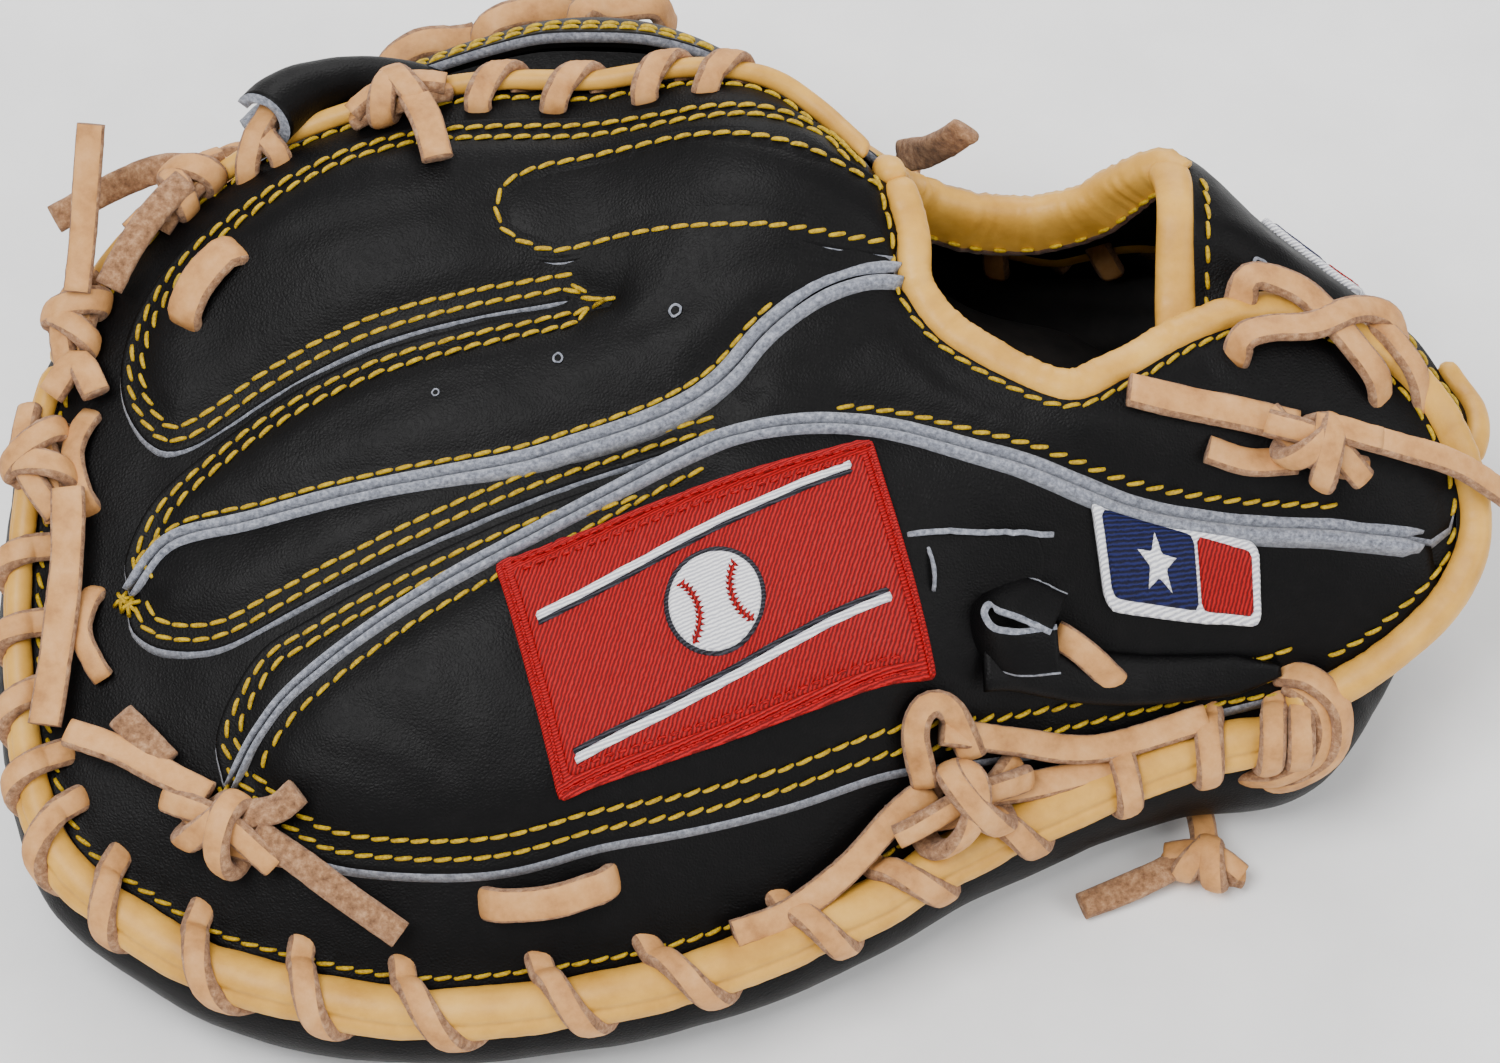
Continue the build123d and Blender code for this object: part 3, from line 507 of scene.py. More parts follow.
def fill(outline, step):
    """Points and triangles inside a closed plan outline, finer beside its edge."""
    x, y = outline.T
    if np.sum(x * np.roll(y, -1) - y * np.roll(x, -1)) < 0:
        outline = outline[::-1]
    low, high = outline.min(0), outline.max(0)
    across, along = np.meshgrid(np.arange(low[0], high[0], step), np.arange(low[1], high[1], step * 0.87))
    across[1::2] += step / 2
    grid = np.stack([across.ravel(), along.ravel()], axis=1)
    grid = grid[is_inside(outline, grid)]
    points = [grid[distance_to(outline, grid, closed=True) > 1.1 + 0.45 * step]]
    for ring in (0.3, 0.8):
        line = beside(np.vstack([outline[-1:], outline, outline[:2]]), ring)[1:-2]
        kept = is_inside(outline, line) & (distance_to(outline, line, closed=True) > 0.9 * ring)
        points.append(line[kept])
    every = [Vector(p) for p in np.vstack([outline] + points).tolist()]
    found = delaunay_2d_cdt(every, [], [list(range(len(outline)))], 1, 1e-4)
    plan = np.array([tuple(p) for p in found[0]])
    triangles = [face for face in found[2] if len(face) == 3]
    used = sorted({i for face in triangles for i in face})
    place = {old: new for new, old in enumerate(used)}
    return plan[used], [tuple(place[i] for i in face) for face in triangles]


def edge_of(triangles):
    """The outline edges of filled triangles, each with its inside to the left."""
    edges = {(a, b) for t in triangles for a, b in zip(t, t[1:] + t[:1])}
    return [(a, b) for a, b in edges if (b, a) not in edges]


def closed_sheet(upper, lower, triangles):
    """Two copies of a filled outline, joined by a wall: vertices, and faces as top, wall, underside."""
    count = len(upper)
    walls = [(a + count, b + count, b, a) for a, b in edge_of(triangles)]
    under = [tuple(i + count for i in face[::-1]) for face in triangles]
    return np.vstack([upper, lower]), (triangles, walls, under)


def skin(rings, closed_ends=True):
    """Faces over rows of points, each row a closed loop."""
    rows, around = len(rings), len(rings[0])
    faces = []
    for i in range(rows - 1):
        for j in range(around):
            k = (j + 1) % around
            faces.append((i * around + j, i * around + k, (i + 1) * around + k, (i + 1) * around + j))
    if closed_ends:
        faces.append(tuple(range(around))[::-1])
        faces.append(tuple(range((rows - 1) * around, rows * around)))
    return np.asarray(rings).reshape(-1, 3), faces


class Ground:
    """Everything laid so far on one side of the mitt, to lay the next thing on."""

    def __init__(self):
        self.vertices, self.faces, self.tree = [], [], None

    def add(self, vertices, faces):
        start = len(self.vertices)
        self.vertices += [tuple(v) for v in np.asarray(vertices)]
        self.faces += [tuple(i + start for i in face) for face in faces]
        self.tree = None

    def drop(self, plan, smoothing=1.2):
        """Where points come down on the ground, and which way it faces there."""
        if self.tree is None:
            self.tree = BVHTree.FromPolygons(self.vertices, self.faces)
        around = [(0, 0), (smoothing, 0), (-smoothing, 0), (0, smoothing), (0, -smoothing)]
        spots, normals = [], []
        for x, y in np.asarray(plan)[:, :2]:
            hits = [self.tree.ray_cast(Vector((x + dx, y + dy, 200)), Vector((0, 0, -1))) for dx, dy in around]
            hits = [hit for hit in hits if hit[0] is not None]
            if hits:
                spots.append((x, y, hits[0][0].z))
                up = [np.array(hit[1]) * (1 if hit[1].z > 0 else -1) for hit in hits]
                normals.append(np.mean(up, axis=0))
            else:
                spots.append((x, y, float(back(x, y)) + BASE_TOP))
                normals.append((0, 0, 1))
        return np.array(spots), unit(np.array(normals))


finger_ground, thumb_ground = Ground(), Ground()


def panel(name, outline, body, ground, top=PANEL_TOP, thickness=PANEL_THICKNESS, height=back, step=2.0,
          seams=(), creases=(), puff=1.4, wrinkle=0.22, replaces=(), edge=0.35, finishes=(BLACK, RAW, LINING)):
    """A leather panel: rounded edges, padded between its seams, with creases and stitched grooves.

    Each crease is (points, depth, width)."""
    plan, triangles = fill(outline, step)
    x, y = plan.T
    gap = distance_to(outline, plan, closed=True)
    rise = puff * (1 - np.exp(-gap / 6.0))
    for seam in seams:
        near = distance_to(seam, plan)
        rise -= 0.55 * np.exp(-(near / 1.1) ** 2) + 0.35 * puff * np.exp(-(near / 4.0) ** 2)
    for line, depth, width in creases:
        rise += depth * np.exp(-(distance_to(smooth_line(line, 2.0), plan) / width) ** 2)
    rise += wrinkle * np.minimum(gap / 3, 1) * (rough(plan, 9.0, 3.1) + 0.6 * rough(plan, 3.6, 7.7))
    reach = np.clip(edge - gap, 0, edge)
    rise -= edge - np.sqrt(np.maximum(edge ** 2 - reach ** 2, 0))
    surface = height(x, y)
    upper = surface + top + rise
    lower = np.minimum(surface + top - thickness, upper - 0.4)
    foot = plan.copy()
    for a, b in edge_of(triangles):
        heading = unit(plan[b] - plan[a])
        spread = 0.15 + 0.75 * max(0.0, heading[0])
        foot[[a, b]] += np.array([heading[1], -heading[0]]) * spread / 2
    vertices, groups = closed_sheet(np.column_stack([plan, upper]), np.column_stack([foot, lower]), triangles)
    mesh = Mesh(*finishes)
    mesh.add(vertices, sum(groups, []), [k for k, faces in enumerate(groups) for _ in faces])
    mesh.piece(name, body, replaces)
    ground.add(vertices[:len(plan)], triangles)


def lining(name, outline, body, top, node):
    panel(name, outline, body, Ground(), top=top, thickness=LINING_THICKNESS, step=4.0, puff=0.0,
          wrinkle=0.3, replaces=(node,), finishes=(LINING, LINING, LINING))


def lace(mesh, line, facing, width=LACE_WIDTH, thickness=LACE_THICKNESS, closed=False, seed=0.0,
         flip=False, plump=False):
    """A strip of lace along a line in space; facing is where its smooth side looks.

    A plump lace is one pulled tight: rounder, with more of its fuzzy edges showing. A flipped lace
    shows its fuzzy side."""
    line = np.asarray(line, float)
    if closed:
        along = unit(np.roll(line, -1, axis=0) - np.roll(line, 1, axis=0))
    else:
        along = unit(np.gradient(line, axis=0))
    facing = unit(facing - (facing * along).sum(1, keepdims=True) * along)
    across = np.cross(along, facing)
    angles = turns_of(18) + 0.1
    side = width / 2 * powered(np.cos(angles), 0.75 if plump else 0.6)
    lift = thickness / 2 * powered(np.sin(angles), 0.85 if plump else 0.7)
    run = run_along(line)
    sway = np.array([1 + 0.06 * wobble(r / 9.0, seed, 1.7) for r in run])[:, None]
    fray = np.array([[0.14 * wobble(r / 1.1, a, seed) for a in range(18)] for r in run])
    side, lift = side[None] * sway + fray * np.sign(side), lift[None] * (2 - sway) + 0.5 * fray
    rings = line[:, None] + side[..., None] * across[:, None] + lift[..., None] * facing[:, None]
    if closed:
        rings = np.concatenate([rings, rings[:1]])
    vertices, faces = skin(rings, closed_ends=not closed)
    smooth = (np.sin(angles + np.pi / 18) > (0.8 if plump else 0.6)) & (not flip)
    finish = [0 if smooth[j] else 1 for j in range(18)] * (len(rings) - 1)
    mesh.add(vertices, faces, finish + [1] * (len(faces) - len(finish)))


def free_lace(mesh, points, facing, level=None, **shape):
    """A lace along points in space, or along plan points raised to a level above the back.

    facing is one direction, or several shared out along the lace."""
    line = smooth_line(points if level is None else on_back(points, level), 1.3)
    facing = np.atleast_2d(np.array(facing, float))
    keys = np.linspace(0, 1, len(facing))
    lace(mesh, line, columns_at(np.linspace(0, 1, len(line)), keys, facing), **shape)


def lace_over(mesh, ground, plan, lift=0.0, seed=0.0, dip=(2.2, 2.2), width=LACE_WIDTH,
              thickness=LACE_THICKNESS):
    """A lace lying on the ground; its ends dip into their holes."""
    line = smooth_line(plan, 1.3)
    spots, normals = ground.drop(line)
    share = np.linspace(0, 1, len(line))
    sink = dip[0] * np.clip(1 - share / 0.16, 0, 1) ** 2 + dip[1] * np.clip(1 - (1 - share) / 0.16, 0, 1) ** 2
    arch = 1.1 * np.sin(np.pi * share)
    spots[:, 2] = np.convolve(np.pad(spots[:, 2], 3, mode="edge"), np.ones(7) / 7, "valid")
    centres = spots + normals * (thickness / 2 + lift + arch - sink)[:, None]
    lace(mesh, centres, normals, width, thickness, seed=seed)


def bead(mesh, centres, radii, first, second, sides, finish):
    """A short rounded bar of thread; first and second span its section."""
    angles = turns_of(sides)
    section = np.cos(angles)[:, None] * first + np.sin(angles)[:, None] * second
    mesh.add(*skin([centre + radius * section for centre, radius in zip(centres, radii)]), finish)


def stitches(mesh, ground, line, slant=9.0):
    """A row of thread stitches, each a small rounded bar lying in its groove."""
    line = even(np.asarray(line)[:, :2], 0.8)
    run = run_along(line)
    places = np.arange(STITCH_PITCH / 2, run[-1], STITCH_PITCH)
    ahead, behind = columns_at(places + 0.6, run, line), columns_at(places - 0.6, run, line)
    spots, normals = ground.drop(columns_at(places, run, line), 1.6)
    turn = math.radians(slant)
    stations = (-1.75, -1.55, -1.0, 0.0, 1.0, 1.55, 1.75)
    radii = (0.14, 0.32, 0.42, 0.46, 0.42, 0.32, 0.14)
    rises = (-0.36, -0.1, 0.1, 0.18, 0.1, -0.1, -0.36)
    for spot, normal, heading in zip(spots, normals, unit(ahead - behind)):
        flat = np.append(heading, 0.0)
        along = unit(flat - normal * (flat @ normal))
        across = np.cross(normal, along)
        slanted = along * math.cos(turn) + across * math.sin(turn)
        sideways = across * math.cos(turn) - along * math.sin(turn)
        centres = [spot + slanted * station + normal * (0.16 + rise) for station, rise in zip(stations, rises)]
        bead(mesh, centres, radii, sideways, normal, 8, 0)


# ---------------------------------------------------------------- outlines of the back, mm in plan
WRIST_OPENING = [
    (25, 27), (28, 16), (29.5, 6), (39, -4), (58, -13), (71, -8), (85, 1), (102, 6), (121, 0.5),
    (132, -10), (135.5, -21), (131, -31), (120, -39), (109, -43.5),
]
INDEX_EDGE = [
    (22, 31), (14, 38), (-12, 39.5), (-48, 40.5), (-70, 39), (-91, 32), (-109, 22), (-118, 10),
    (-119.5, -2), (-114, -12), (-106, -14), (-90, -7), (-73, -1.5), (-51, 3), (-34, 5.6),
]
MIDDLE_EDGE = [
    (-34, 4.6), (-51, 1.6), (-73, -3), (-90, -8.6), (-103, -15.6), (-113, -23), (-118, -32), (-117, -39),
]
UPPER_SEAM = [
    (-117, -39), (-109, -31.5), (-93, -30.3), (-75, -28.3), (-47, -25.3), (-33, -22.3), (-17, -17.8),
    (-6, -12.3), (3, -3.5), (12, 3), (21, 7), (28.5, 8.5),
]
RING_EDGE = [
    (-117.5, -41.5), (-116, -46), (-110, -50), (-99, -51.5), (-85, -47), (-63, -38.6), (-41, -30.6),
    (-22, -25), (-4, -21.2),
]
LITTLE_SIDE_EDGE = [
    (-22, -27), (-41, -32.6), (-63, -41), (-82, -49), (-91, -53), (-97, -60), (-100, -67), (-98.5, -74),
]
LOWER_SEAM = [
    (-97, -75), (-91.5, -67.5), (-83, -60.2), (-60, -46.8), (-25, -30.2), (-2, -20.8), (22, -17.8),
    (45, -22.2), (73, -27.2), (109, -26.7), (131, -25),
]
LITTLE_EDGE = [
    (131, -31), (122, -38), (106, -44), (84, -49), (63, -55), (31, -66), (6, -76), (-21, -84.5),
    (-47, -90), (-74, -89), (-87, -84), (-96, -76),
]
PAD_EDGE = [
    (26, 26), (6, 30.5), (-15, 33), (-36, 32), (-47, 28), (-50, 21), (-47, 15), (-38, 11.5), (-23, 12.5),
    (0, 11), (18, 10.5), (27, 11),
]
TAB = [(32, -35.5), (43, -34), (54, -33), (54, -40), (42, -43), (34, -45)]

index_edge, middle_edge = smooth_line(INDEX_EDGE), smooth_line(MIDDLE_EDGE)
upper_seam, lower_seam = smooth_line(UPPER_SEAM), smooth_line(LOWER_SEAM)
ring_edge, little_side_edge = smooth_line(RING_EDGE), smooth_line(LITTLE_SIDE_EDGE)
little_edge, pad_edge = smooth_line(LITTLE_EDGE), smooth_line(PAD_EDGE)
opening_line = smooth_line(WRIST_OPENING)
rim_line = smooth_line(plan_of(FINGER_RIM))

# Stitch rows. Most run in pairs, this far inside an edge.
INSET_ROWS = (1.9, 4.3)
index_rows = [np.vstack([beside(index_edge, gap), [(-30, 5.6), (-26.5, 5.2)]]) for gap in INSET_ROWS]
index_rows += [np.vstack([[(-26.5, 5.2), (-30, 4.0)], beside(middle_edge, gap)]) for gap in INSET_ROWS]
ring_rows = [beside(ring_edge, gap) for gap in INSET_ROWS]
little_side_rows = [beside(little_side_edge, gap) for gap in INSET_ROWS]
little_rows = [beside(little_edge, -gap)[20:] for gap in INSET_ROWS]
upper_row = beside(upper_seam, 3.0)[3:-16]
flap_row = beside(lower_seam, 3.2)[86:-14]
opening_row = beside(opening_line, -1.6)
little_top_row = beside(lower_seam, -3.4)[3:70]
pad_row = beside(pad_edge, 2.2)
rim_row = beside(rim_line, -1.6)

# ---------------------------------------------------------------- back of the finger side
panel("leather_base", np.vstack([rim_line, opening_line[2:-1]]), "finger_side", finger_ground,
      top=BASE_TOP + 0.6, thickness=BASE_THICKNESS, step=2.6, seams=(rim_row,), puff=0.6, wrinkle=0.3,
      replaces=("rim_band",))

panel("leather_index_middle", np.vstack([index_edge, middle_edge[1:], upper_seam[1:-1], [(28, 16), (26, 25)]]),
      "finger_side", finger_ground, seams=index_rows + [upper_row], puff=1.8, replaces=("index_middle_back",),
      creases=[([(-88, 18), (-60, 22), (-30, 26)], -0.4, 2.2), ([(-70, 12), (-48, 17), (-25, 22)], -0.3, 1.6),
               ([(-20, -2), (0, 6), (16, 10)], -0.7, 2.6), ([(-12, -6), (4, 2), (18, 8)], 0.5, 2.4),
               ([(-30, -10), (-12, -1), (6, 8)], 0.4, 3.0), ([(-96, -22), (-70, -14), (-45, -8)], -0.35, 2.0)])

ring_outline = np.vstack([
    ring_edge, little_side_edge[1:], beside(lower_seam, 0.4)[1:-1], [(133, -22), (134.5, -18)],
    beside(opening_line, -0.2)[15:-22][::-1], beside(upper_seam, -0.6)[1:-1][::-1]])
panel("leather_middle_ring", ring_outline, "finger_side", finger_ground, puff=1.5,
      seams=ring_rows + little_side_rows + [flap_row, opening_row], replaces=("middle_ring_back",),
      creases=[([(36, -10), (50, -16), (66, -20)], -0.5, 1.6), ([(30, -6), (44, -14), (60, -18)], -0.45, 1.2),
               ([(28, -1), (36, -8), (52, -15)], -0.5, 1.2), ([(86, -6), (92, -12), (98, -18)], -0.5, 1.8),
               ([(120, -16), (124, -20), (127, -23)], -0.5, 1.6), ([(0, -12), (16, -8), (26, 0)], -0.8, 3.0),
               ([(-30, -24), (-14, -19), (0, -13)], -0.7, 2.4)])

panel("leather_little", np.vstack([little_edge, beside(lower_seam, -0.6)[2:-1]]), "finger_side", finger_ground,
      seams=little_rows + [little_top_row], puff=1.9, replaces=("little_finger_back",),
      creases=[([(-75, -66), (-64, -70), (-56, -76)], -0.5, 2.4),
               ([(-84, -72), (-70, -76), (-60, -80)], -0.35, 2.0),
               ([(40, -30), (52, -40), (60, -50)], -0.3, 2.6),
               ([(96, -34), (106, -38), (116, -37)], -0.6, 2.0),
               ([(90, -40), (104, -41), (114, -38)], 0.5, 1.8)])

panel("leather_index_pad", pad_edge, "finger_side", finger_ground, top=1.5, step=1.8, seams=(pad_row,),
      puff=1.2, wrinkle=0.14, replaces=("index_finger_pad",))

# A small sewn tab beside the red patch.
panel("leather_tab", smooth_line(TAB, 1.0, closed=True), "finger_side", finger_ground, top=1.9, thickness=2.0,
      step=1.4, puff=0.3, wrinkle=0.1, edge=0.3)


def welt(name, seam, node, width):
    """Two leather edges standing side by side in a seam; width is (at its start, at its end)."""
    track = Track(seam, back, side=1)
    mesh = Mesh(RAW, BLACK)
    height = finger_ground.drop(track.points, 0.5)[0][:, 2]
    share = np.linspace(0, 1, len(track.points))
    ply = (width[0] + (width[1] - width[0]) * share) / 2 - 0.25
    half = ply / 2 * np.clip(np.minimum(share, 1 - share) / 0.012, 0.25, 1)
    for side in (-1, 1):
        middle = side * (ply / 2 + 0.22)
        sway = np.array([0.16 * wobble(p[0] / 6, side, 0.5) for p in track.points])
        top = np.maximum(track.points[:, 2] + 0.9, height + 0.2) - track.points[:, 2] + 0.5 + 0.3 * side + sway
        foot = np.full(len(top), -2.6)
        out = np.stack([middle + k * half for k in (-1, -1, -0.6, 0, 0.6, 1, 1)], axis=1)
        up = np.stack([foot, top - 0.5, top, top + 0.18, top, top - 0.5, foot], axis=1)
        vertices, faces = track.wrap(track.run, np.stack([out, up], axis=-1))
        mesh.add(vertices, faces, [1 if j % 7 == 6 else 0 for j in range(len(faces))])
    mesh.piece(name, "finger_side", (node,))


welt("welt_upper", UPPER_SEAM, "upper_welt", (3.2, 5.2))
welt("welt_lower", LOWER_SEAM[:-1] + [(127.5, -25.6)], "lower_welt", (2.2, 5.4))
lining("lining_back_finger", np.vstack([beside(rim_line, -3.0)[2:-2], beside(opening_line, -1.0)[2:-2]]),
       "finger_side", -5.6, "back_lining_finger_side")

# ---------------------------------------------------------------- back of the thumb side, with its strap
FAR_OPENING = [(22, 46.5), (30, 41), (42, 41), (54, 41.5), (64, 41.5), (72, 41), (80, 39.5)]
STRAP_EDGE = [(83.5, 36), (84, 30), (84, 16), (84, 4)]
STRAP_UNDER = [(84, 4), (104, 3.5), (126, -1), (136.5, -6)]
STRAP_END = [(136.5, -6), (138.4, 1), (137.5, 9), (133, 17), (126, 27), (119, 37), (112, 46)]

thumb_rim_line, web_edge_line = smooth_line(plan_of(THUMB_RIM)), smooth_line(plan_of(THUMB_WEB_EDGE))
far_line, strap_line = smooth_line(FAR_OPENING), smooth_line(STRAP_EDGE)
strap_end_line = smooth_line(STRAP_END)
thumb_outline = np.vstack([
    web_edge_line, far_line[1:], strap_line[1:], smooth_line(STRAP_UNDER)[1:], strap_end_line[1:-1],
    thumb_rim_line[1:-1]])
thumb_rows = [beside(web_edge_line, gap)[3:-2] for gap in (2.2, 5.2)]
thumb_rows += [beside(far_line, 3.4), beside(strap_line, 3.0), beside(thumb_rim_line, 1.6),
               beside(strap_end_line, 2.4)[:22]]
panel("leather_thumb", thumb_outline, "thumb_side", thumb_ground, height=strap_height, step=2.2,
      seams=thumb_rows, puff=1.0, replaces=("thumb_back", "wrist_strap"),
      creases=[([(-50, 74), (-20, 78), (10, 70)], -0.5, 3.0), ([(96, 34), (104, 28), (112, 18)], -0.35, 2.4)])
lining("lining_back_thumb", np.vstack([
    beside(thumb_rim_line, 3.0)[2:-2], beside(web_edge_line, 2.0)[1:-1],
    smooth_line([(24, 48), (54, 46), (84, 46), (104, 48)])]), "thumb_side", -3.6, "back_lining_thumb_side")


# ---------------------------------------------------------------- palm: leather outside, felt, lining inside
def palm():
    """One padded body: the outside leather, a bulging rim wall and the lining that the hand touches."""
    outline = smooth_line(plan_of(PALM_RIM_NEAR + PALM_RIM_FAR[::-1]), 2.0, closed=True)[::-1]
    plan, triangles = fill(outline, 3.4)
    x, y = plan.T
    gap = distance_to(outline, plan, closed=True)
    wave = 0.5 * np.minimum(gap / 10, 1) * rough(plan, 16.0, 2.2)
    outside = np.maximum(palm_outside(x, y) + wave, 0.25)
    inside = np.maximum(palm_inside(x, y), outside + 6.0) + 0.5 * rough(plan, 13.0, 5.2)
    rim = edge_of(triangles)
    after = dict(rim)
    ring = [rim[0][0]]
    while len(ring) < len(rim):
        ring.append(after[ring[-1]])
    ring = np.array(ring)
    spot = plan[ring]
    along = unit(np.roll(spot, -3, axis=0) - np.roll(spot, 3, axis=0))
    out = np.stack([along[:, 1], -along[:, 0]], axis=1)
    heel = np.clip((spot[:, 0] - 108) / 10, 0, 1)
    inward = spot - 6.0 * out
    roof = np.minimum(back(*inward.T) - 6.0, back(*spot.T) + 14)
    roof = np.maximum(roof, outside[ring] + 9) * (1 - heel) + (inside[ring] - 0.5) * heel
    wrinkle = rough(spot, 5.0, 9.1)
    rows = []
    # The wall bulges most at mid height: (share of the height, bulge).
    for share, bulge in ((0.12, 1.3), (0.28, 2.2), (0.45, 2.5), (0.62, 2.0), (0.78, 0.9), (0.92, -0.8),
                         (1.0, -2.6)):
        height = outside[ring] + share * (roof - outside[ring])
        ridge = bulge + 0.35 * wrinkle * math.sin(math.pi * share)
        rows.append(np.column_stack([spot + out * ridge[:, None], height]))
    count = len(plan)
    faces = [t[::-1] for t in triangles] + [tuple(i + count for i in t) for t in triangles]
    finish = [0] * len(triangles) + [1] * len(triangles)
    ladder = [ring] + [2 * count + k * len(ring) + np.arange(len(ring)) for k in range(len(rows))]
    ladder.append(ring + count)
    for low, high in zip(ladder, ladder[1:]):
        faces += list(zip(low, np.roll(low, -1), np.roll(high, -1), high))
        finish += [1 if high is ladder[-1] else 0] * len(ring)
    mesh = Mesh(BLACK, LINING)
    sheets = [np.column_stack([plan, outside]), np.column_stack([plan, inside])]
    mesh.add(np.vstack(sheets + rows), faces, finish)
    layers = [f"palm_{layer}_{side}" for layer in ("leather", "pad", "lining")
              for side in ("finger_side", "thumb_side")]
    mesh.piece("palm", None, layers)


palm()


# ---------------------------------------------------------------- rolls and bindings
# Where the turns of lace go round the rolls, in mm along them.
NEAR_WHIPS = [1.5, 7, 20, 38, 62, 84, 104, 130, 152, 177, 198, 218, 239, 254, 266, 279, 293, 307, 330]
WEB_WHIPS = [434, 453, 468, 485, 497]
THUMB_WHIPS = list(range(12, 300, 21))
WEB_ROLL_SIZE, THUMB_ROLL_SIZE = 0.42, 0.92

finger_track = Track(FINGER_RIM, back, side=1)
thumb_track = Track(THUMB_RIM, back, side=-1)
control_runs = [finger_track.run[np.argmin(np.linalg.norm(finger_track.points[:, :2] - point[:2], axis=1))]
                for point in np.array(FINGER_RIM)]


def finger_roll_size(runs):
    return np.interp(runs, control_runs, ROLL_SIZE)


def thumb_roll_size(runs):
    return np.full(len(runs), THUMB_ROLL_SIZE)


def stations(start, end, step):
    return np.linspace(start, end, max(3, int(abs(end - start) / step)))


def rounded_ends(run, length, reach, least):
    """1 along a line, falling in a round curve to the least at both ends."""
    near_end = np.clip(np.minimum(run, length - run) / reach, 0.0, 1.0)
    return least + (1 - least) * np.sqrt(1 - (1 - near_end) ** 2)


def roll(name, track, start, end, size, whips, body, node, seed):
    """The padded roll: one big lobe, a smaller one below it, squeezed where the lace goes round."""
    runs = stations(start, end, 1.2)
    angles = turns_of(48)
    degrees = (np.degrees(angles) + 180) % 360 - 180
    radius = ROLL_RADIUS + 0.8 * np.exp(-((degrees + 15) / 24) ** 2)
    radius -= 0.75 * np.exp(-((degrees - 20) / 6) ** 2)
    squeeze = 1 - 0.09 * sum(np.exp(-((runs - w - 2) / 3.2) ** 2) for w in whips)
    ripple = np.array([[0.1 * wobble(run / 2.2, a, seed) + 0.12 * wobble(run / 9, a, seed) for a in angles]
                       for run in runs])
    scale = (size(runs) * rounded_ends(runs - start, end - start, 3.5, 0.35))[:, None]
    reach = (radius * squeeze[:, None] + ripple) * scale
    out, up = ROLL_CENTRE[0] * scale + reach * np.cos(angles), ROLL_CENTRE[1] * scale + reach * np.sin(angles)
    mesh = Mesh(TAN)
    mesh.add(*track.wrap(runs, np.stack([out, up], axis=-1)))
    mesh.piece(name, body, (node,))


web_corner_run = control_runs[WEB_CORNER]
roll("roll_near", finger_track, 0, web_corner_run + 0.6, finger_roll_size, NEAR_WHIPS, "finger_side",
     "rim_roll_finger_side", 1.1)
roll("roll_web", finger_track, web_corner_run, finger_track.length - 1, finger_roll_size, WEB_WHIPS,
     "finger_side", "web_side_roll", 2.3)
roll("roll_thumb", thumb_track, 0, thumb_track.length, thumb_roll_size, THUMB_WHIPS, "thumb_side",
     "rim_roll_thumb_side", 3.7)


def binding(name, track, body, replaces=(), width=6.6, height=6.4, seed=0.0, wrinkle=0.22):
    """Leather rolled over an edge, pulled into fine folds where it turns."""
    runs = stations(0, track.length, 0.9)
    angles = turns_of(28)
    fold = np.array([[wrinkle * wobble(run / 1.3, 0.6 * math.sin(a), seed) * max(math.sin(a), -0.2)
                      + 0.3 * wobble(run / 14, math.cos(a), seed) for a in angles] for run in runs])
    grow = 1 + 2.4 * fold / height
    out = width / 2 - 0.6 + width / 2 * powered(np.cos(angles), 0.8) * grow
    up = -height / 2 + 1.7 + height / 2 * powered(np.sin(angles), 0.85) * grow
    loops = np.stack([out, up], axis=-1)
    middle = loops.mean(axis=1, keepdims=True)
    loops = middle + (loops - middle) * rounded_ends(runs, track.length, 3.0, 0.3)[:, None, None]
    mesh = Mesh(TAN)
    mesh.add(*track.wrap(runs, loops))
    mesh.piece(name, body, replaces)


binding("binding_wrist", Track(WRIST_OPENING + [(102, -44.5)], back, side=1), "finger_side",
        ("wrist_binding_finger_side",), seed=4.1, wrinkle=0.4)
binding("binding_strap", Track([(82, 41)] + STRAP_EDGE, strap_height, side=-1), "thumb_side",
        ("wrist_strap_binding",), width=7.4, height=5.0, seed=5.3, wrinkle=0.08)
binding("binding_strap_end", Track(STRAP_END[:4], strap_height, side=-1), "thumb_side",
        ("wrist_strap_end_binding",), width=4.6, height=5.0, seed=6.1, wrinkle=0.1)


def far_binding():
    """The far side of the opening, seen from inside: a tall rolled band with a raw lower edge."""
    track = Track([(26, 37), (34, 41), (44, 41), (54, 41.5), (64, 41.5), (72, 41), (79, 40), (83, 37)],
                  strap_height, side=-1)

    def depth(run):
        return 0.62 + 0.38 * math.sin(math.pi * min(1.0, run / track.length + 0.12))

    out, up = np.array([
        (-2.6, 0.6), (-1.0, 1.7), (1.0, 1.8), (2.6, 0.6), (3.2, -1.6), (3.3, -4.5), (3.2, -7.5), (3.1, -10.0),
        (2.9, -11.6), (2.3, -11.9), (1.9, -11.0), (1.9, -7.0), (1.6, -3.0), (0.0, -1.6), (-2.4, -1.6)]).T
    folded = ((out > 2.5) | (up > 0)) * (1 - 0.4 * np.clip(-up / 9, 0, 1))
    runs = np.linspace(0, track.length, int(track.length / 0.7))
    loops = []
    for run in runs:
        fold = 0.8 * wobble(run / 1.6, 0.2, 8.8) + 0.4 * wobble(run / 5.0, 0.7, 8.8)
        loops.append(np.column_stack([out + fold * folded, up * depth(run)]))
    vertices, faces = track.wrap(runs, np.array(loops))
    mesh = Mesh(TAN, BROWN, GOLD)
    mesh.add(vertices, faces, [1 if 7 <= j % len(out) <= 10 else 0 for j in range(len(faces))])
    for run in np.arange(3, track.length - 2, STITCH_PITCH):
        spot, along = track.place(run, 3.45, -9.2 * depth(run)), track.at(run, track.along)
        centres = [spot + along * station for station in (-1.3, -1.0, 0, 1.0, 1.3)]
        up_here, out_here = track.at(run, track.up), track.at(run, track.out)
        bead(mesh, centres, (0.12, 0.4, 0.48, 0.4, 0.12), up_here, out_here, 8, 2)
    mesh.piece("binding_far", "thumb_side", ("thumb_opening_binding",))


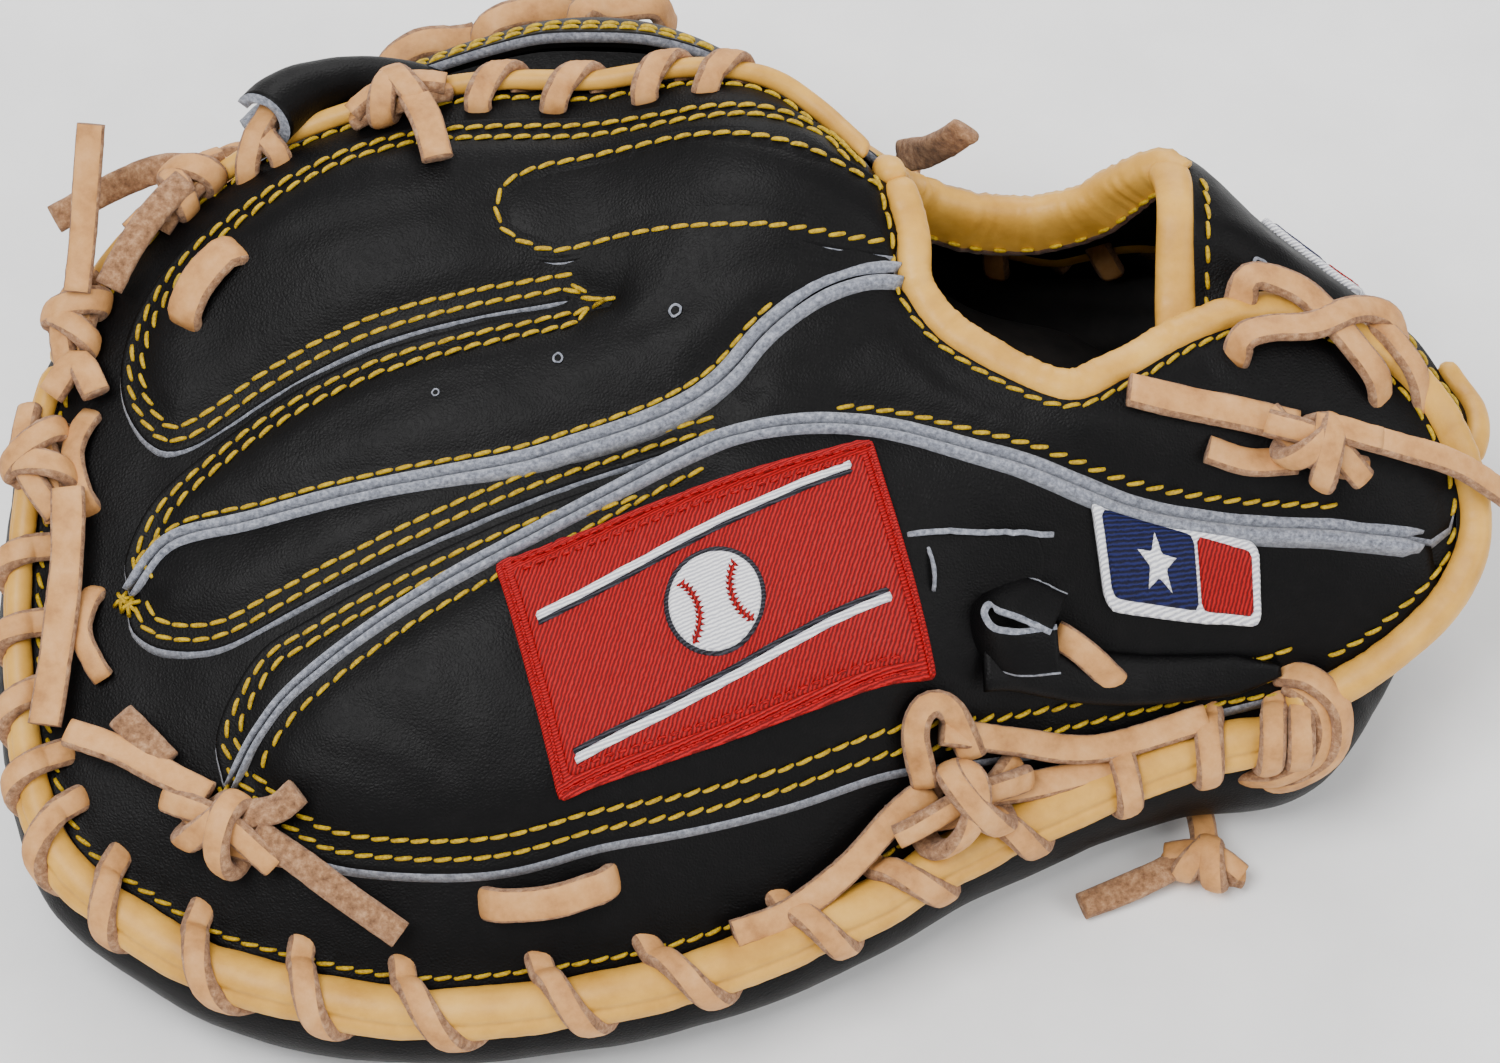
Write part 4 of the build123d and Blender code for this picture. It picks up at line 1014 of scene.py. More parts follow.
far_binding()
binding("binding_crotch", Track([(25, 26), (24, 30), (24, 34), (27, 38)], back, side=-1), None,
        width=6.2, height=6.0, seed=7.2)
heel_edge = [(121, -31), (126.5, -16), (128, 8), (124, 30), (116, 43)]
binding("binding_heel", Track(heel_edge, heel_height, side=-1), None, width=6.4, height=6.0, seed=9.4,
        wrinkle=0.12)


# ---------------------------------------------------------------- whip lacing
def whip(mesh, track, run, scale, slant, seed, thickness):
    """One turn of the lace round the roll, out of its hole and back under; slant is how far it drifts."""
    reach = ROLL_RADIUS * scale + 0.24 * thickness
    middle = np.array(ROLL_CENTRE) * scale
    turns = np.radians(np.linspace(138, -104, 11))
    hole = np.array([(-5.2, -3.4), (-5.3, -1.8), (-4.2, 0.3)]) * [0.6 + 0.4 * scale, 1]
    section = np.vstack([hole, middle + reach * np.column_stack([np.cos(turns), np.sin(turns)])])
    share = np.append([0.0, 0.02, 0.06], np.linspace(0.14, 1, len(turns)))
    drift = slant * (0.5 - share) + np.sin(np.pi * share)
    line = smooth_line(np.column_stack([drift, section]), 0.9)
    runs = np.clip(run + line[:, 0], 0.2, track.length - 0.2)
    away = unit(line[:, 1:] - middle)
    facing = away[:, :1] * track.at(runs, track.out) + away[:, 1:] * track.at(runs, track.up)
    lace(mesh, track.place(runs, line[:, 1], line[:, 2]), facing, 5.4, thickness, seed=seed, plump=True)


def rim_lace(name, body, node, track, turns, thickness=3.7):
    """turns are (place along the roll, size of the roll there, slant, seed)."""
    mesh = Mesh(GRAIN, FLESH)
    for run, scale, slant, seed in turns:
        whip(mesh, track, run, scale, slant, seed, thickness)
    mesh.piece(name, body, (node,))


near_sizes = [float(finger_roll_size(run)) for run in NEAR_WHIPS]
near_slants = [(-5.0 if run < 60 else 15.0) * size + 1.6 * math.sin(3.0 * k)
               for k, (run, size) in enumerate(zip(NEAR_WHIPS, near_sizes))]
rim_lace("lace_rim_finger", "finger_side", "rim_lace_finger_side", finger_track,
         zip(NEAR_WHIPS, near_sizes, near_slants, range(11, 99)))
rim_lace("lace_web_side", "finger_side", "web_side_lace", finger_track,
         [(run, WEB_ROLL_SIZE, -9.0, 31 + k) for k, run in enumerate(WEB_WHIPS)], thickness=2.6)
rim_lace("lace_rim_thumb", "thumb_side", "rim_lace_thumb_side", thumb_track,
         [(run, THUMB_ROLL_SIZE, -12.0, 51 + k) for k, run in enumerate(THUMB_WHIPS)])

# ---------------------------------------------------------------- stitching
finger_rows = index_rows + ring_rows + little_side_rows + little_rows
finger_rows += [upper_row, flap_row, opening_row, little_top_row, pad_row, rim_row]
for name, body, ground, rows in (("stitches_finger", "finger_side", finger_ground, finger_rows),
                                 ("stitches_thumb", "thumb_side", thumb_ground, thumb_rows)):
    mesh = Mesh(GOLD)
    for row in rows:
        stitches(mesh, ground, row)
    mesh.piece(name, body)


# ---------------------------------------------------------------- knots and tied laces
def seat_at(x, y, turn):
    """Seat, heading, across and normal for a knot on the finger side, turned by degrees."""
    spots, normals = finger_ground.drop([(x, y)], 4.0)
    heading = np.array([math.cos(math.radians(turn)), math.sin(math.radians(turn)), 0.0])
    along = unit(heading - normals[0] * (heading @ normals[0]))
    return spots[0], along, np.cross(normals[0], along), normals[0]


def knot(mesh, seat, size, seed, lift=0.0, slants=(0.34, -0.3)):
    """A pulled-tight knot: two turns of lace crossing over a short bundle."""
    spot, along, across, normal = seat
    centre = spot + normal * (0.27 * size + lift)
    turns = turns_of(44)
    for k, slant in enumerate(slants):
        reach = size * (0.335 + 0.03 * k)
        shift = (k - 0.5) * 0.30 * size + slant * size * 0.5 * np.cos(turns - 0.5)
        facing = across * np.cos(turns)[:, None] + normal * np.sin(turns)[:, None]
        ring = across * np.cos(turns)[:, None] + 0.82 * normal * np.sin(turns)[:, None]
        line = centre + reach * ring + along * shift[:, None]
        lace(mesh, line, facing, 5.4, 3.5, closed=True, seed=seed + k, plump=True)
    shares = np.linspace(-0.72, 0.72, 24)[:, None]
    for k, (slide, rise) in enumerate(((0.1, 0.12), (-0.12, -0.08))):
        line = along * shares + across * slide * np.cos(3 * shares) + normal * (rise - 0.32 * shares ** 2)
        facing = np.repeat(normal[None], len(line), axis=0)
        lace(mesh, centre + size * line, facing, 5.2, 3.4, seed=seed + 4 + k, plump=True)


def tied(name, body, node, seed, strands, seat=None, **knot_shape):
    """A piece of tied lace, with a knot if it has a seat. Each strand is (points, facing, its shape)."""
    mesh = Mesh(GRAIN, FLESH)
    if seat is not None:
        knot(mesh, seat, seed=seed, **knot_shape)
        seed += 2
    for k, (points, facing, shape) in enumerate(strands):
        free_lace(mesh, points, facing, seed=seed + k, **shape)
    mesh.piece(name, body, (node,))


# Which way the smooth side of a lace looks: straight up, or turned towards the camera.
UP, LEANING, TOWARDS = (0, 0, 1), (0, -0.2, 1), (0, -0.4, 0.9)

tied("knot_tip", "finger_side", "tip_knot", 71, seat=seat_at(-133, -12, 100), size=16, lift=1.0, strands=[
    ([(-133, -2), (-128, 3), (-124, -4)], UP, dict(level=4.5)),
])
tied("knot_corner", "finger_side", "corner_knot", 81, seat=seat_at(-127, 14, 70), size=14, lift=0.5, strands=[
    ([(-128, 14, 86), (-127, 22, 91), (-126, 30, 99), (-125, 38, 107)], (0, -0.6, 0.8), dict(width=5.4)),
    ([(-134, 36, 80), (-124, 40, 84), (-114, 42, 88), (-106, 40, 91)], (0, -0.5, 0.8), dict(flip=True)),
])
tied("knot_web_corner", "finger_side", "web_corner_knot", 91, seat=seat_at(-106, 36, 50), size=13, lift=0.8,
     strands=[
         ([(-122, 15), (-118, 22), (-113, 29), (-108, 35)], TOWARDS, dict(level=6.0, flip=True)),
         ([(-118, 27), (-114, 31), (-109, 36)], TOWARDS, dict(level=3.4)),
     ])
tied("knot_top", "finger_side", "top_knot", 101, seat=seat_at(-66, 45, 10), size=13, lift=1.2, strands=[
    ([(-64, 44), (-61.5, 38), (-60, 33), (-59, 29)], LEANING, dict(level=4.2, width=6.2)),
])
tied("knot_side", "finger_side", "side_knot", 111, seat=seat_at(-97, -80, -38), size=17, lift=1.4, strands=[
    ([(-128, -64), (-119, -68), (-110, -73), (-101, -78)], LEANING, dict(level=5.2)),
    ([(-92, -85), (-84, -90), (-76, -95), (-65, -101)], (0, -0.8, 0.6), dict(level=6.0, flip=True)),
    ([(-118, -62), (-113, -67), (-109, -71)], LEANING, dict(level=3.6, flip=True)),
    ([(-94, -82), (-88, -82), (-84, -80)], LEANING, dict(level=5.4, flip=True)),
])
tied("knot_heel", "finger_side", "heel_knot", 121, seat=seat_at(37, -66.5, 25), size=20, lift=1.8,
     slants=(0.5, -0.5), strands=[
         ([(-3, -96), (7, -91.5), (18, -83.5), (28, -74), (34, -69.5)], (0.3, -0.5, 0.8), dict(level=4.6)),
         ([(36, -62.5), (50, -60), (66, -57.5), (87, -51)], TOWARDS, dict(level=5.6)),
         ([(42, -68), (54, -64), (70, -58.5)], TOWARDS, dict(level=4.6)),
         ([(33, -70), (31, -64.5), (33.5, -60.5), (38, -60), (42, -64)], (-0.3, -0.3, 0.9),
          dict(level=6.4, plump=True)),
         ([(101, -42.5, 40), (107, -45.5, 42.5), (112.5, -49.5, 38), (112, -53.5, 29), (105, -55, 22),
           (98, -53.5, 18)],
          [(0, 0, 1), (0.5, -0.2, 0.9), (0.9, -0.5, 0.3), (0.7, -0.8, 0), (0, -1, -0.1)],
          dict(thickness=3.4, plump=True)),
         ([(103, -44, 39), (108.5, -49, 38.5), (109, -54, 31), (102, -56, 25), (95, -54, 21)],
          [(0.3, 0, 1), (0.7, -0.4, 0.6), (0.5, -0.9, 0), (0, -1, -0.2)], dict(thickness=3.4, plump=True)),
     ])
tied("knot_wrist", "finger_side", "wrist_knot", 131, seat=seat_at(106, -16, -35), size=15, lift=0.6, strands=[
    ([(71, -13), (82, -13.5), (93, -14), (103, -15)], LEANING, dict(level=4.2, width=6.8)),
    ([(86, -19), (94, -20), (103, -19)], LEANING, dict(level=2.6)),
    ([(106, -17, 85.5), (111, -17.5, 85), (115, -18, 83.6), (118.5, -18.1, 82.2)], (0.2, -0.2, 0.95),
     dict(width=5.4)),
])
floor_seat = [np.array(v) for v in ((88.0, -62.5, 1.6), (0.9, -0.3, 0.0), (0.3, 0.9, 0.0), (0.0, 0.0, 1.0))]
tied("knot_floor", "finger_side", "floor_knot", 141, seat=floor_seat, size=11, strands=[
    ([(85, -62, 5), (78, -65, 3), (71, -68, 2.0), (64, -71, 1.7)], (0, -0.3, 1), dict(flip=True)),
    ([(87, -62, 4.5), (88, -57, 5), (87, -50, 4.2), (84, -44, 3.4)], (0, -0.3, 1),
     dict(width=5.4, plump=True)),
])

stays = Mesh(GRAIN, FLESH)
for k, (plan, lift, dip, width) in enumerate((
        ([(-107.5, 7.5), (-103.5, 13.5), (-97, 19)], 0.2, (3.2, 3.2), 7.4),
        ([(-50, -94), (-37, -93), (-25, -90)], 0.3, (3.2, 3.2), 6.6),
        ([(-123.5, -36), (-125, -44), (-121.5, -52.5)], 0.4, (3.4, 1.0), 4.2),
        ([(-125, -4), (-127.5, -12), (-125, -22)], 0.4, (1.0, 3.4), 4.4),
        ([(57, -43.5), (63, -45), (70, -47.5)], 0.6, (0.2, 2.0), 5.4))):
    lace_over(stays, finger_ground, plan, lift, 151 + k, dip, width)
stays.piece("laces_stay", "finger_side", ("stay_laces",))


# ---------------------------------------------------------------- free lace ends, laid along NURBS curves
def cord_line(name, route):
    """The smooth line that a free lace follows, from its route points."""
    curve = bpy.data.curves.new(name, "CURVE")
    curve.dimensions = "3D"
    curve.resolution_u = 10
    spline = curve.splines.new("NURBS")
    spline.points.add(len(route) - 1)
    for point, place in zip(spline.points, metres(route)):
        point.co = (*place, 1.0)
    spline.order_u = 3
    spline.use_endpoint_u = True
    holder = bpy.data.objects.new(name, curve)
    mesh = bpy.data.meshes.new_from_object(holder)
    points = np.array([tuple(v.co) for v in mesh.vertices])
    bpy.data.objects.remove(holder)
    bpy.data.curves.remove(curve)
    bpy.data.meshes.remove(mesh)
    return points


def free_end(name, route, node, facing, width, seed):
    line = cord_line(name + "_line", route)
    path = even(line * 1000.0 - ORIGIN_SHIFT, 1.2)
    mesh = Mesh(GRAIN, FLESH)
    lace(mesh, path, np.repeat(np.array([facing], float), len(path), axis=0), width, seed=seed)
    mesh.piece(name, "finger_side", (node,))


TIP_TAIL = on_back([(-129, -21), (-128.5, -30), (-129.5, -42), (-131, -53), (-132.5, -62)], 5.3)
WRIST_TAIL = [(117.5, -18, 82.5), (124, -18.5, 80), (131, -18.5, 77), (138, -19, 72), (145, -20, 65)]
free_end("tail_tip", TIP_TAIL, "tip_lace_tail", (-0.2, -0.3, 0.9), 6.6, 161)
free_end("tail_wrist", WRIST_TAIL, "wrist_lace_tail", (0.3, -0.2, 0.9), 5.3, 162)

# ---------------------------------------------------------------- web between finger side and thumb side
WEB_BOTTOM = [(-106, 58), (-100, 66), (-84, 79), (-60, 72), (-20, 60), (10, 51)]   # (x, z)
WEB_NEAR = [(-116, 31), (-104, 37), (-92, 42), (-75, 44), (-61, 46), (-30, 45), (5, 43), (15, 36)]
WEB_FAR = [(-106, 60), (-98, 61), (-88, 61), (-75, 60.5), (-61, 60), (-30, 59), (2, 54), (14, 47)]
WEB_THICKNESS = 2.2


def web():
    """A leather sheet that hangs between the two edges of the back like a shallow trough."""
    places = np.linspace(0, 1, 66)
    sides = []
    for edge in (WEB_NEAR, WEB_FAR):
        line = smooth_line(edge, 2.0)
        sides.append(columns_at(places, np.linspace(0, 1, len(line)), line))
    across = np.linspace(0, 1, 22)
    dip = np.sin(math.pi * across) ** 0.6
    rings = []
    for near, far in zip(*sides):
        plan = near + across[:, None] * (far - near)
        high = back(*plan.T) - 4.2
        low = np.interp(plan[:, 0], *np.array(WEB_BOTTOM).T)
        top = high + (np.minimum(low, high) - high) * dip + 0.5 * rough(plan, 6.0, 12.5) * dip
        upper = np.column_stack([plan, top])
        rings.append(np.vstack([upper, (upper - [0, 0, WEB_THICKNESS])[::-1]]))
    mesh = Mesh(BLACK, RAW)
    mesh.add(*skin(rings))
    mesh.piece("web", None, ("web_panel",))


def web_bar():
    """A curled strip of leather along the top of the web, pale inside, open at the finger end."""
    line = smooth_line([(-93, 44.5, 100), (-90, 49, 99), (-84, 54, 97), (-74, 58, 94.5), (-62, 59, 91),
                        (-52, 58, 87)], 1.4)
    along = unit(np.gradient(line, axis=0))
    out = unit(np.cross(along, np.array([0.0, 0.0, 1.0])))
    up = np.cross(out, along)
    turns = np.linspace(math.radians(-150), math.radians(165), 26)
    rings = []
    for k, centre in enumerate(line):
        pinch = (1 + 0.05 * wobble(k / 4.0, 0.3, 2.2)) * (1.25 - 0.4 * k / len(line))
        curl = np.cos(turns)[:, None] * out[k] + np.sin(turns)[:, None] * up[k]
        rings.append(np.vstack([centre + 5.0 * pinch * curl, centre + 3.1 * pinch * curl[::-1]]))
    vertices, faces = skin(rings)
    around = 2 * len(turns)
    finish = [0 if j % around < len(turns) - 1 else 1 for j in range(len(faces) - 2)] + [1, 1]
    mesh = Mesh(BLACK, RAW, LINING)
    mesh.add(vertices, faces, finish)
    mesh.piece("web_bar", None, ("web_top_bar",))


web()
web_bar()

over_the_roll = [(0, 0.4, 0.9), (0, 0.1, 1), (0, -0.3, 0.9), (0, -0.4, 0.9)]
tied("lace_web", None, "web_lace", 171, [
    ([(-91, 50, 99.5), (-92.5, 45.5, 99.5), (-94.5, 41.5, 99), (-96, 37.5, 95.5), (-96, 36, 91)],
     over_the_roll, dict(width=4.8, plump=True)),
    ([(-90, 50, 98), (-92.5, 46, 97), (-92.5, 41.5, 98.6), (-90, 38.5, 97.5), (-89, 37, 93)],
     over_the_roll, dict(width=4.6, plump=True)),
])
tied("lace_wrist_tie", None, "wrist_tie_lace", 181, [
    (dipped([(92.5, 8), (94, 10.5), (98, 11.5), (104, 10), (109, 6), (114, 1), (118.5, -4), (119.5, -6)], 3.6),
     [(0, 0, 1), (0.1, 0, 1), (0.3, 0, 0.95), (0.3, -0.1, 0.95)], dict(width=6.4, plump=True)),
    (dipped([(91.5, -3), (93, -1.5), (98, 0.5), (106, 2.2), (113, 7), (118, 10), (122, 10), (124, 8)], 4.8),
     [(0, 0, 1), (0.1, 0, 1), (0.3, 0, 0.95), (0.5, 0, 0.9)], dict(width=6.0, plump=True)),
    (dipped([(117, 9), (120, 7), (124, 3), (126.5, -1), (128, -4)], 3.0), (0.4, 0, 0.9),
     dict(width=5.4, plump=True)),
])


def thumb_loop_strand(x, y):
    """A loop of lace standing on the thumb back, over the point (x, y)."""
    start, end = float(back(x - 8, y - 3)), float(back(x + 8, y))
    crown = float(back(x, y)) + 6.0
    points = [(x - 8.5, y - 6, start - 0.5), (x - 7.5, y - 3, start + 4.5), (x - 1.5, y, crown),
              (x + 6, y + 2, crown - 1.5), (x + 9, y + 3, end - 0.5)]
    facing = [(-0.8, -0.3, 0.5), (-0.4, -0.4, 0.9), (0.1, -0.4, 1), (0.8, -0.2, 0.6)]
    return points, facing, dict(width=6.4, thickness=3.4, plump=True)


tied("laces_thumb", "thumb_side", "thumb_lace_loops", 191,
     [thumb_loop_strand(x, y) for x, y in ((-63, 79), (-44, 83), (-25, 84))])
tied("lace_end_thumb", "thumb_side", "thumb_lace_tail", 195, [
    ([(30, 62, 67), (34, 58, 73), (38, 54, 81), (41.5, 51.5, 88)], (0.3, -0.6, 0.8),
     dict(width=6.4, flip=True)),
])


def inner_loop(name, body, node, start, end, rise):
    """A leather loop inside the hand space, for the little finger or the thumb."""
    places = np.linspace(0, 1, 30)
    plan = columns_at(places, [0, 1], [start, end])
    z = palm_inside(*plan.T) + 3.0 + rise * np.sin(np.pi * places) ** 0.8
    mesh = Mesh(BLACK, RAW)
    facing = np.repeat([[0.0, 0.0, 1.0]], len(plan), axis=0)
    lace(mesh, np.column_stack([plan, z]), facing, width=14.0, thickness=1.9)
    mesh.piece(name, body, (node,))


inner_loop("loop_little_finger", "finger_side", "little_finger_loop", (-12, -76), (-4, -52), 12.0)
inner_loop("loop_thumb", "thumb_side", "thumb_loop", (-22, 66), (-16, 92), 9.0)


# ---------------------------------------------------------------- pull strap
def pull_strap():
    """A tapering strap that lies along the little finger back, and its end folded into a loop."""
    mesh = Mesh(BLACK, RAW)
    plan = smooth_line([(44, -51), (51, -50), (61, -49.5), (72, -48.2), (85, -46), (101, -43.5)], 1.2)
    share = np.linspace(0, 1, len(plan))
    height = finger_ground.drop(plan, 2.0)[0][:, 2]
    height = np.convolve(np.pad(height, 5, mode="edge"), np.ones(11) / 11, "valid")
    centre = np.column_stack([plan, height + 3.0 + 2.0 * np.sin(np.pi * np.clip(share * 1.1, 0, 1))])
    half = np.interp(share, [0, 0.25, 0.6, 0.85, 1], [12.0, 11.0, 9.6, 8.2, 2.6]) / 2
    tilt = np.column_stack([np.zeros(len(share)), -0.5 - 0.25 * share, 0.85 - 0.2 * share])
    along = unit(np.gradient(centre, axis=0))
    face = unit(tilt - (tilt * along).sum(1, keepdims=True) * along)
    across = np.cross(along, face)
    angles = turns_of(26)
    rings = []
    for k, spot in enumerate(centre):
        side = half[k] * powered(np.cos(angles), 0.5)
        curl = 0.16 * half[k] * np.cos(angles) ** 2
        lift = 1.15 * powered(np.sin(angles), 0.6) - curl + 0.35 * wobble(k / 4.0, 1.0, 3.3)
        rings.append(spot + side[:, None] * across[k] + lift[:, None] * face[k])
    mesh.add(*skin(rings))
    ground = float(finger_ground.drop([(46.5, -47.0)], 2.0)[0][0, 2])
    fold = smooth_line([(58, -50.5, ground + 1.5), (50, -51.0, ground + 1.2), (44, -48.5, ground + 2.2),
                        (42, -44.5, ground + 4.8), (45, -41.5, ground + 6.6), (51, -42.5, ground + 6.8),
                        (58, -45.0, ground + 5.0)], 1.0)
    look = columns_at(np.linspace(0, 1, len(fold)), [0, 0.35, 0.6, 1],
                      [(0, -0.6, 0.6), (-0.9, -0.5, 0.3), (-0.9, 0.3, 0.8), (0.1, -0.2, 1.0)])
    lace(mesh, fold, look, width=9.5, thickness=1.9, seed=201)
    mesh.piece("strap_pull", "finger_side", ("pull_strap",))


pull_strap()


# ---------------------------------------------------------------- embroidered patches
class Patch:
    """A four-cornered patch on the back; places on it are (u, v) in millimetres from its first corner."""

    def __init__(self, ground, corners, size, lift):
        self.ground, self.size, self.lift = ground, size, lift
        self.corners = np.array(corners, float)

    def surface(self, places, height):
        """Points in space for (u, v) places, raised above the patch base."""
        s, t = (np.asarray(places, float) / self.size).T[..., None]
        a, b, c, d = self.corners
        plan = a * (1 - s) * (1 - t) + b * s * (1 - t) + c * s * t + d * (1 - s) * t
        spots, normals = self.ground.drop(plan, 3.0)
        return spots + normals * (self.lift + np.asarray(height))[:, None]

    def plate(self, mesh, outline, finish, height, thickness, step=1.5, round_edge=0.4, relief=0.0):
        """A raised shape on the patch, from its closed outline in (u, v)."""
        outline = np.asarray(outline, float)
        places, triangles = fill(outline, step)
        reach = np.clip(round_edge - distance_to(outline, places, closed=True), 0, round_edge)
        top = height - round_edge + np.sqrt(np.maximum(round_edge ** 2 - reach ** 2, 0))
        upper = self.surface(places, top + relief * rough(places, 1.2, 4.4))
        lower = self.surface(places, np.full(len(places), height - thickness))
        vertices, sides = closed_sheet(upper, lower, triangles)
        mesh.add(vertices, sum(sides, []), finish)

    def bar(self, mesh, start, end, width, finish, height, thickness=0.5):
        """A straight strip from start to end, both (u, v)."""
        start, end = np.array(start, float), np.array(end, float)
        along = unit(end - start)
        across = np.array([-along[1], along[0]]) * width / 2
        outline = np.array([start - across, end - across, end + across, start + across, start - across])
        self.plate(mesh, even(outline, 1.0, True), finish, height, thickness, step=max(0.5, width / 2),
                   round_edge=0.2)

    def row(self, mesh, line, finish, height, pitch=2.6):
        """A row of sewing stitches along a line in (u, v)."""
        places = even(np.asarray(line, float), 0.5)[::max(1, int(round(pitch / 0.5)))]
        towards = np.array([0, -0.4, 0.9])
        for place, ahead in zip(places[:-1], places[1:]):
            heading = unit(ahead - place)
            centres = self.surface([place + heading * station for station in (-0.9, -0.6, 0.0, 0.6, 0.9)],
                                   [height - 0.25, height + 0.05, height + 0.15, height + 0.05, height - 0.25])
            along = unit(centres[-1] - centres[0])
            normal = unit(towards - along * (towards @ along))
            bead(mesh, centres, (0.1, 0.3, 0.36, 0.3, 0.1), np.cross(normal, along), normal, 6, finish)


def circle(u, v, radius):
    turns = turns_of(40)
    return np.column_stack([u + radius * np.cos(turns), v + radius * np.sin(turns)])


def rounded_box(u0, v0, u1, v1, radius, step=1.0):
    points = []
    for cu, cv, turn in ((u1 - radius, v1 - radius, 0), (u0 + radius, v1 - radius, 90),
                         (u0 + radius, v0 + radius, 180), (u1 - radius, v0 + radius, 270)):
        angle = np.linspace(0, np.pi / 2, 6) + math.radians(turn)
        points += list(zip(cu + radius * np.cos(angle), cv + radius * np.sin(angle)))
    points.append(points[0])
    return even(np.array(points), step, closed=True)


def star(u, v, radius):
    """A five-pointed star."""
    points = []
    for k in range(10):
        reach = radius if k % 2 == 0 else radius * 0.42
        angle = math.radians(90 + 36 * k)
        points.append((u + reach * math.cos(angle), v + reach * math.sin(angle)))
    points.append(points[0])
    return even(np.array(points), 0.5, closed=True)


def baseball(mesh, patch, u, v, radius):
    """A plain white ball with two red seams."""
    patch.plate(mesh, circle(u, v, radius + 0.9), 3, 2.1, 0.6, step=1.0)
    patch.plate(mesh, circle(u, v, radius), 2, 2.6, 0.8, step=0.9, round_edge=0.5, relief=0.05)
    turns = np.linspace(math.radians(-52), math.radians(52), 30)
    for hand in (-1, 1):
        seam = np.column_stack([u + hand * (10.6 - 7.4 * np.cos(turns)), v + 7.4 * np.sin(turns)])
        line = seam[((seam - [u, v]) ** 2).sum(axis=1) < (radius - 0.8) ** 2]
        for place, heading in list(zip(line, unit(np.gradient(line, axis=0))))[::2]:
            across = np.array([-heading[1], heading[0]])
            reach = across + heading * 0.4
            patch.bar(mesh, place - reach, place + reach, 0.5, 0, 2.95)
        patch.row(mesh, line, 0, 2.65, pitch=1.0)


def label():
    """The red label: a sewn rim, a cloth field, two striped bars and a ball."""
    width, height = 73.0, 44.0
    mesh = Mesh(RED, RED_RIM, WHITE, DARK)
    corners = [(-35.5, -81.5), (34.5, -55), (22.5, -20.5), (-47.5, -42.5)]
    patch = Patch(finger_ground, corners, (width, height), 0.6)
    patch.plate(mesh, rounded_box(0, 0, width, height, 1.2, 1.2), 1, 1.3, 1.7, step=1.8)
    field = rounded_box(2.8, 2.8, width - 2.8, height - 2.8, 0.5, 1.2)
    patch.plate(mesh, field, 0, 1.75, 0.9, round_edge=0.3, relief=0.06)
    inset = 1.4
    right, top = width - inset, height - inset
    seam = [(inset, inset), (right, inset), (right, top), (inset, top)]
    for line in zip(seam, seam[1:] + seam[:1]):
        patch.row(mesh, line, 1, 1.45, pitch=1.5)
    for start, end, side_shift in (((4.5, 31.0), (width - 5.5, 39.5), -1.25),
                                   ((4.5, 5.0), (width - 5.5, 13.5), 1.25)):
        patch.bar(mesh, start, end, 1.5, 2, 2.2)
        shift = np.array([0.0, side_shift])
        patch.bar(mesh, start + shift, end + shift, 0.9, 3, 2.05)
    for v in (40.2, 3.9):
        patch.row(mesh, [(5.5, v), (width - 5.0, v)], 1, 1.9)
    baseball(mesh, patch, 36.5, 22.4, 8.6)
    mesh.piece("patch_label", "finger_side", ("label_patch",))


def small_patch(name, body, ground, node, corners, width, height):
    """A white patch with a navy field, a red field and a star."""
    mesh = Mesh(WHITE, NAVY, RED)
    patch = Patch(ground, corners, (width, height), 0.4)
    patch.plate(mesh, rounded_box(0, 0, width, height, 2.0), 0, 1.1, 1.5, step=1.4, relief=0.06)
    for finish, left, right in ((1, 1.6, width * 0.6), (2, width * 0.62, width - 1.6)):
        field = rounded_box(left, 1.6, right, height - 1.6, 1.0)
        patch.plate(mesh, field, finish, 1.6, 0.8, step=1.0, round_edge=0.3, relief=0.05)
    patch.plate(mesh, star(width * 0.36, height * 0.5, height * 0.3), 0, 2.0, 0.8, step=0.8, round_edge=0.25)
    mesh.piece(name, body, (node,))


label()
small_patch("patch_wrist", "finger_side", finger_ground, "wrist_patch",
            [(67, -40.0), (97, -38.5), (96, -29.0), (63.5, -26.0)], 31.0, 13.0)
small_patch("patch_thumb", "thumb_side", thumb_ground, "thumb_patch",
            [(98, 36), (117, 25), (121.5, 33), (102, 46)], 22.5, 10.5)


# ---------------------------------------------------------------- punched holes, tab edge, thread ends
def eyelet(mesh, ground, x, y, size):
    """A small punched hole: a dark mouth with its pale cut edge turned up."""
    turns = turns_of(22)
    ragged = np.array([1 + 0.25 * wobble(x, turn, 2.0) for turn in turns])
    rings = []
    for radius, level in ((0.45, -0.15), (0.55, 0.16), (0.85, 0.2), (1.0, -0.1)):
        flat = np.array([x, y]) + size * radius * (ragged * [np.cos(turns), np.sin(turns)]).T
        seats, leans = ground.drop(flat, 0.6)
        rings.append(seats + leans * level * size)
    vertices, faces = skin(rings)
    mesh.add(vertices, faces, [1 if len(turns) <= j < 2 * len(turns) else 0 for j in range(len(faces))])


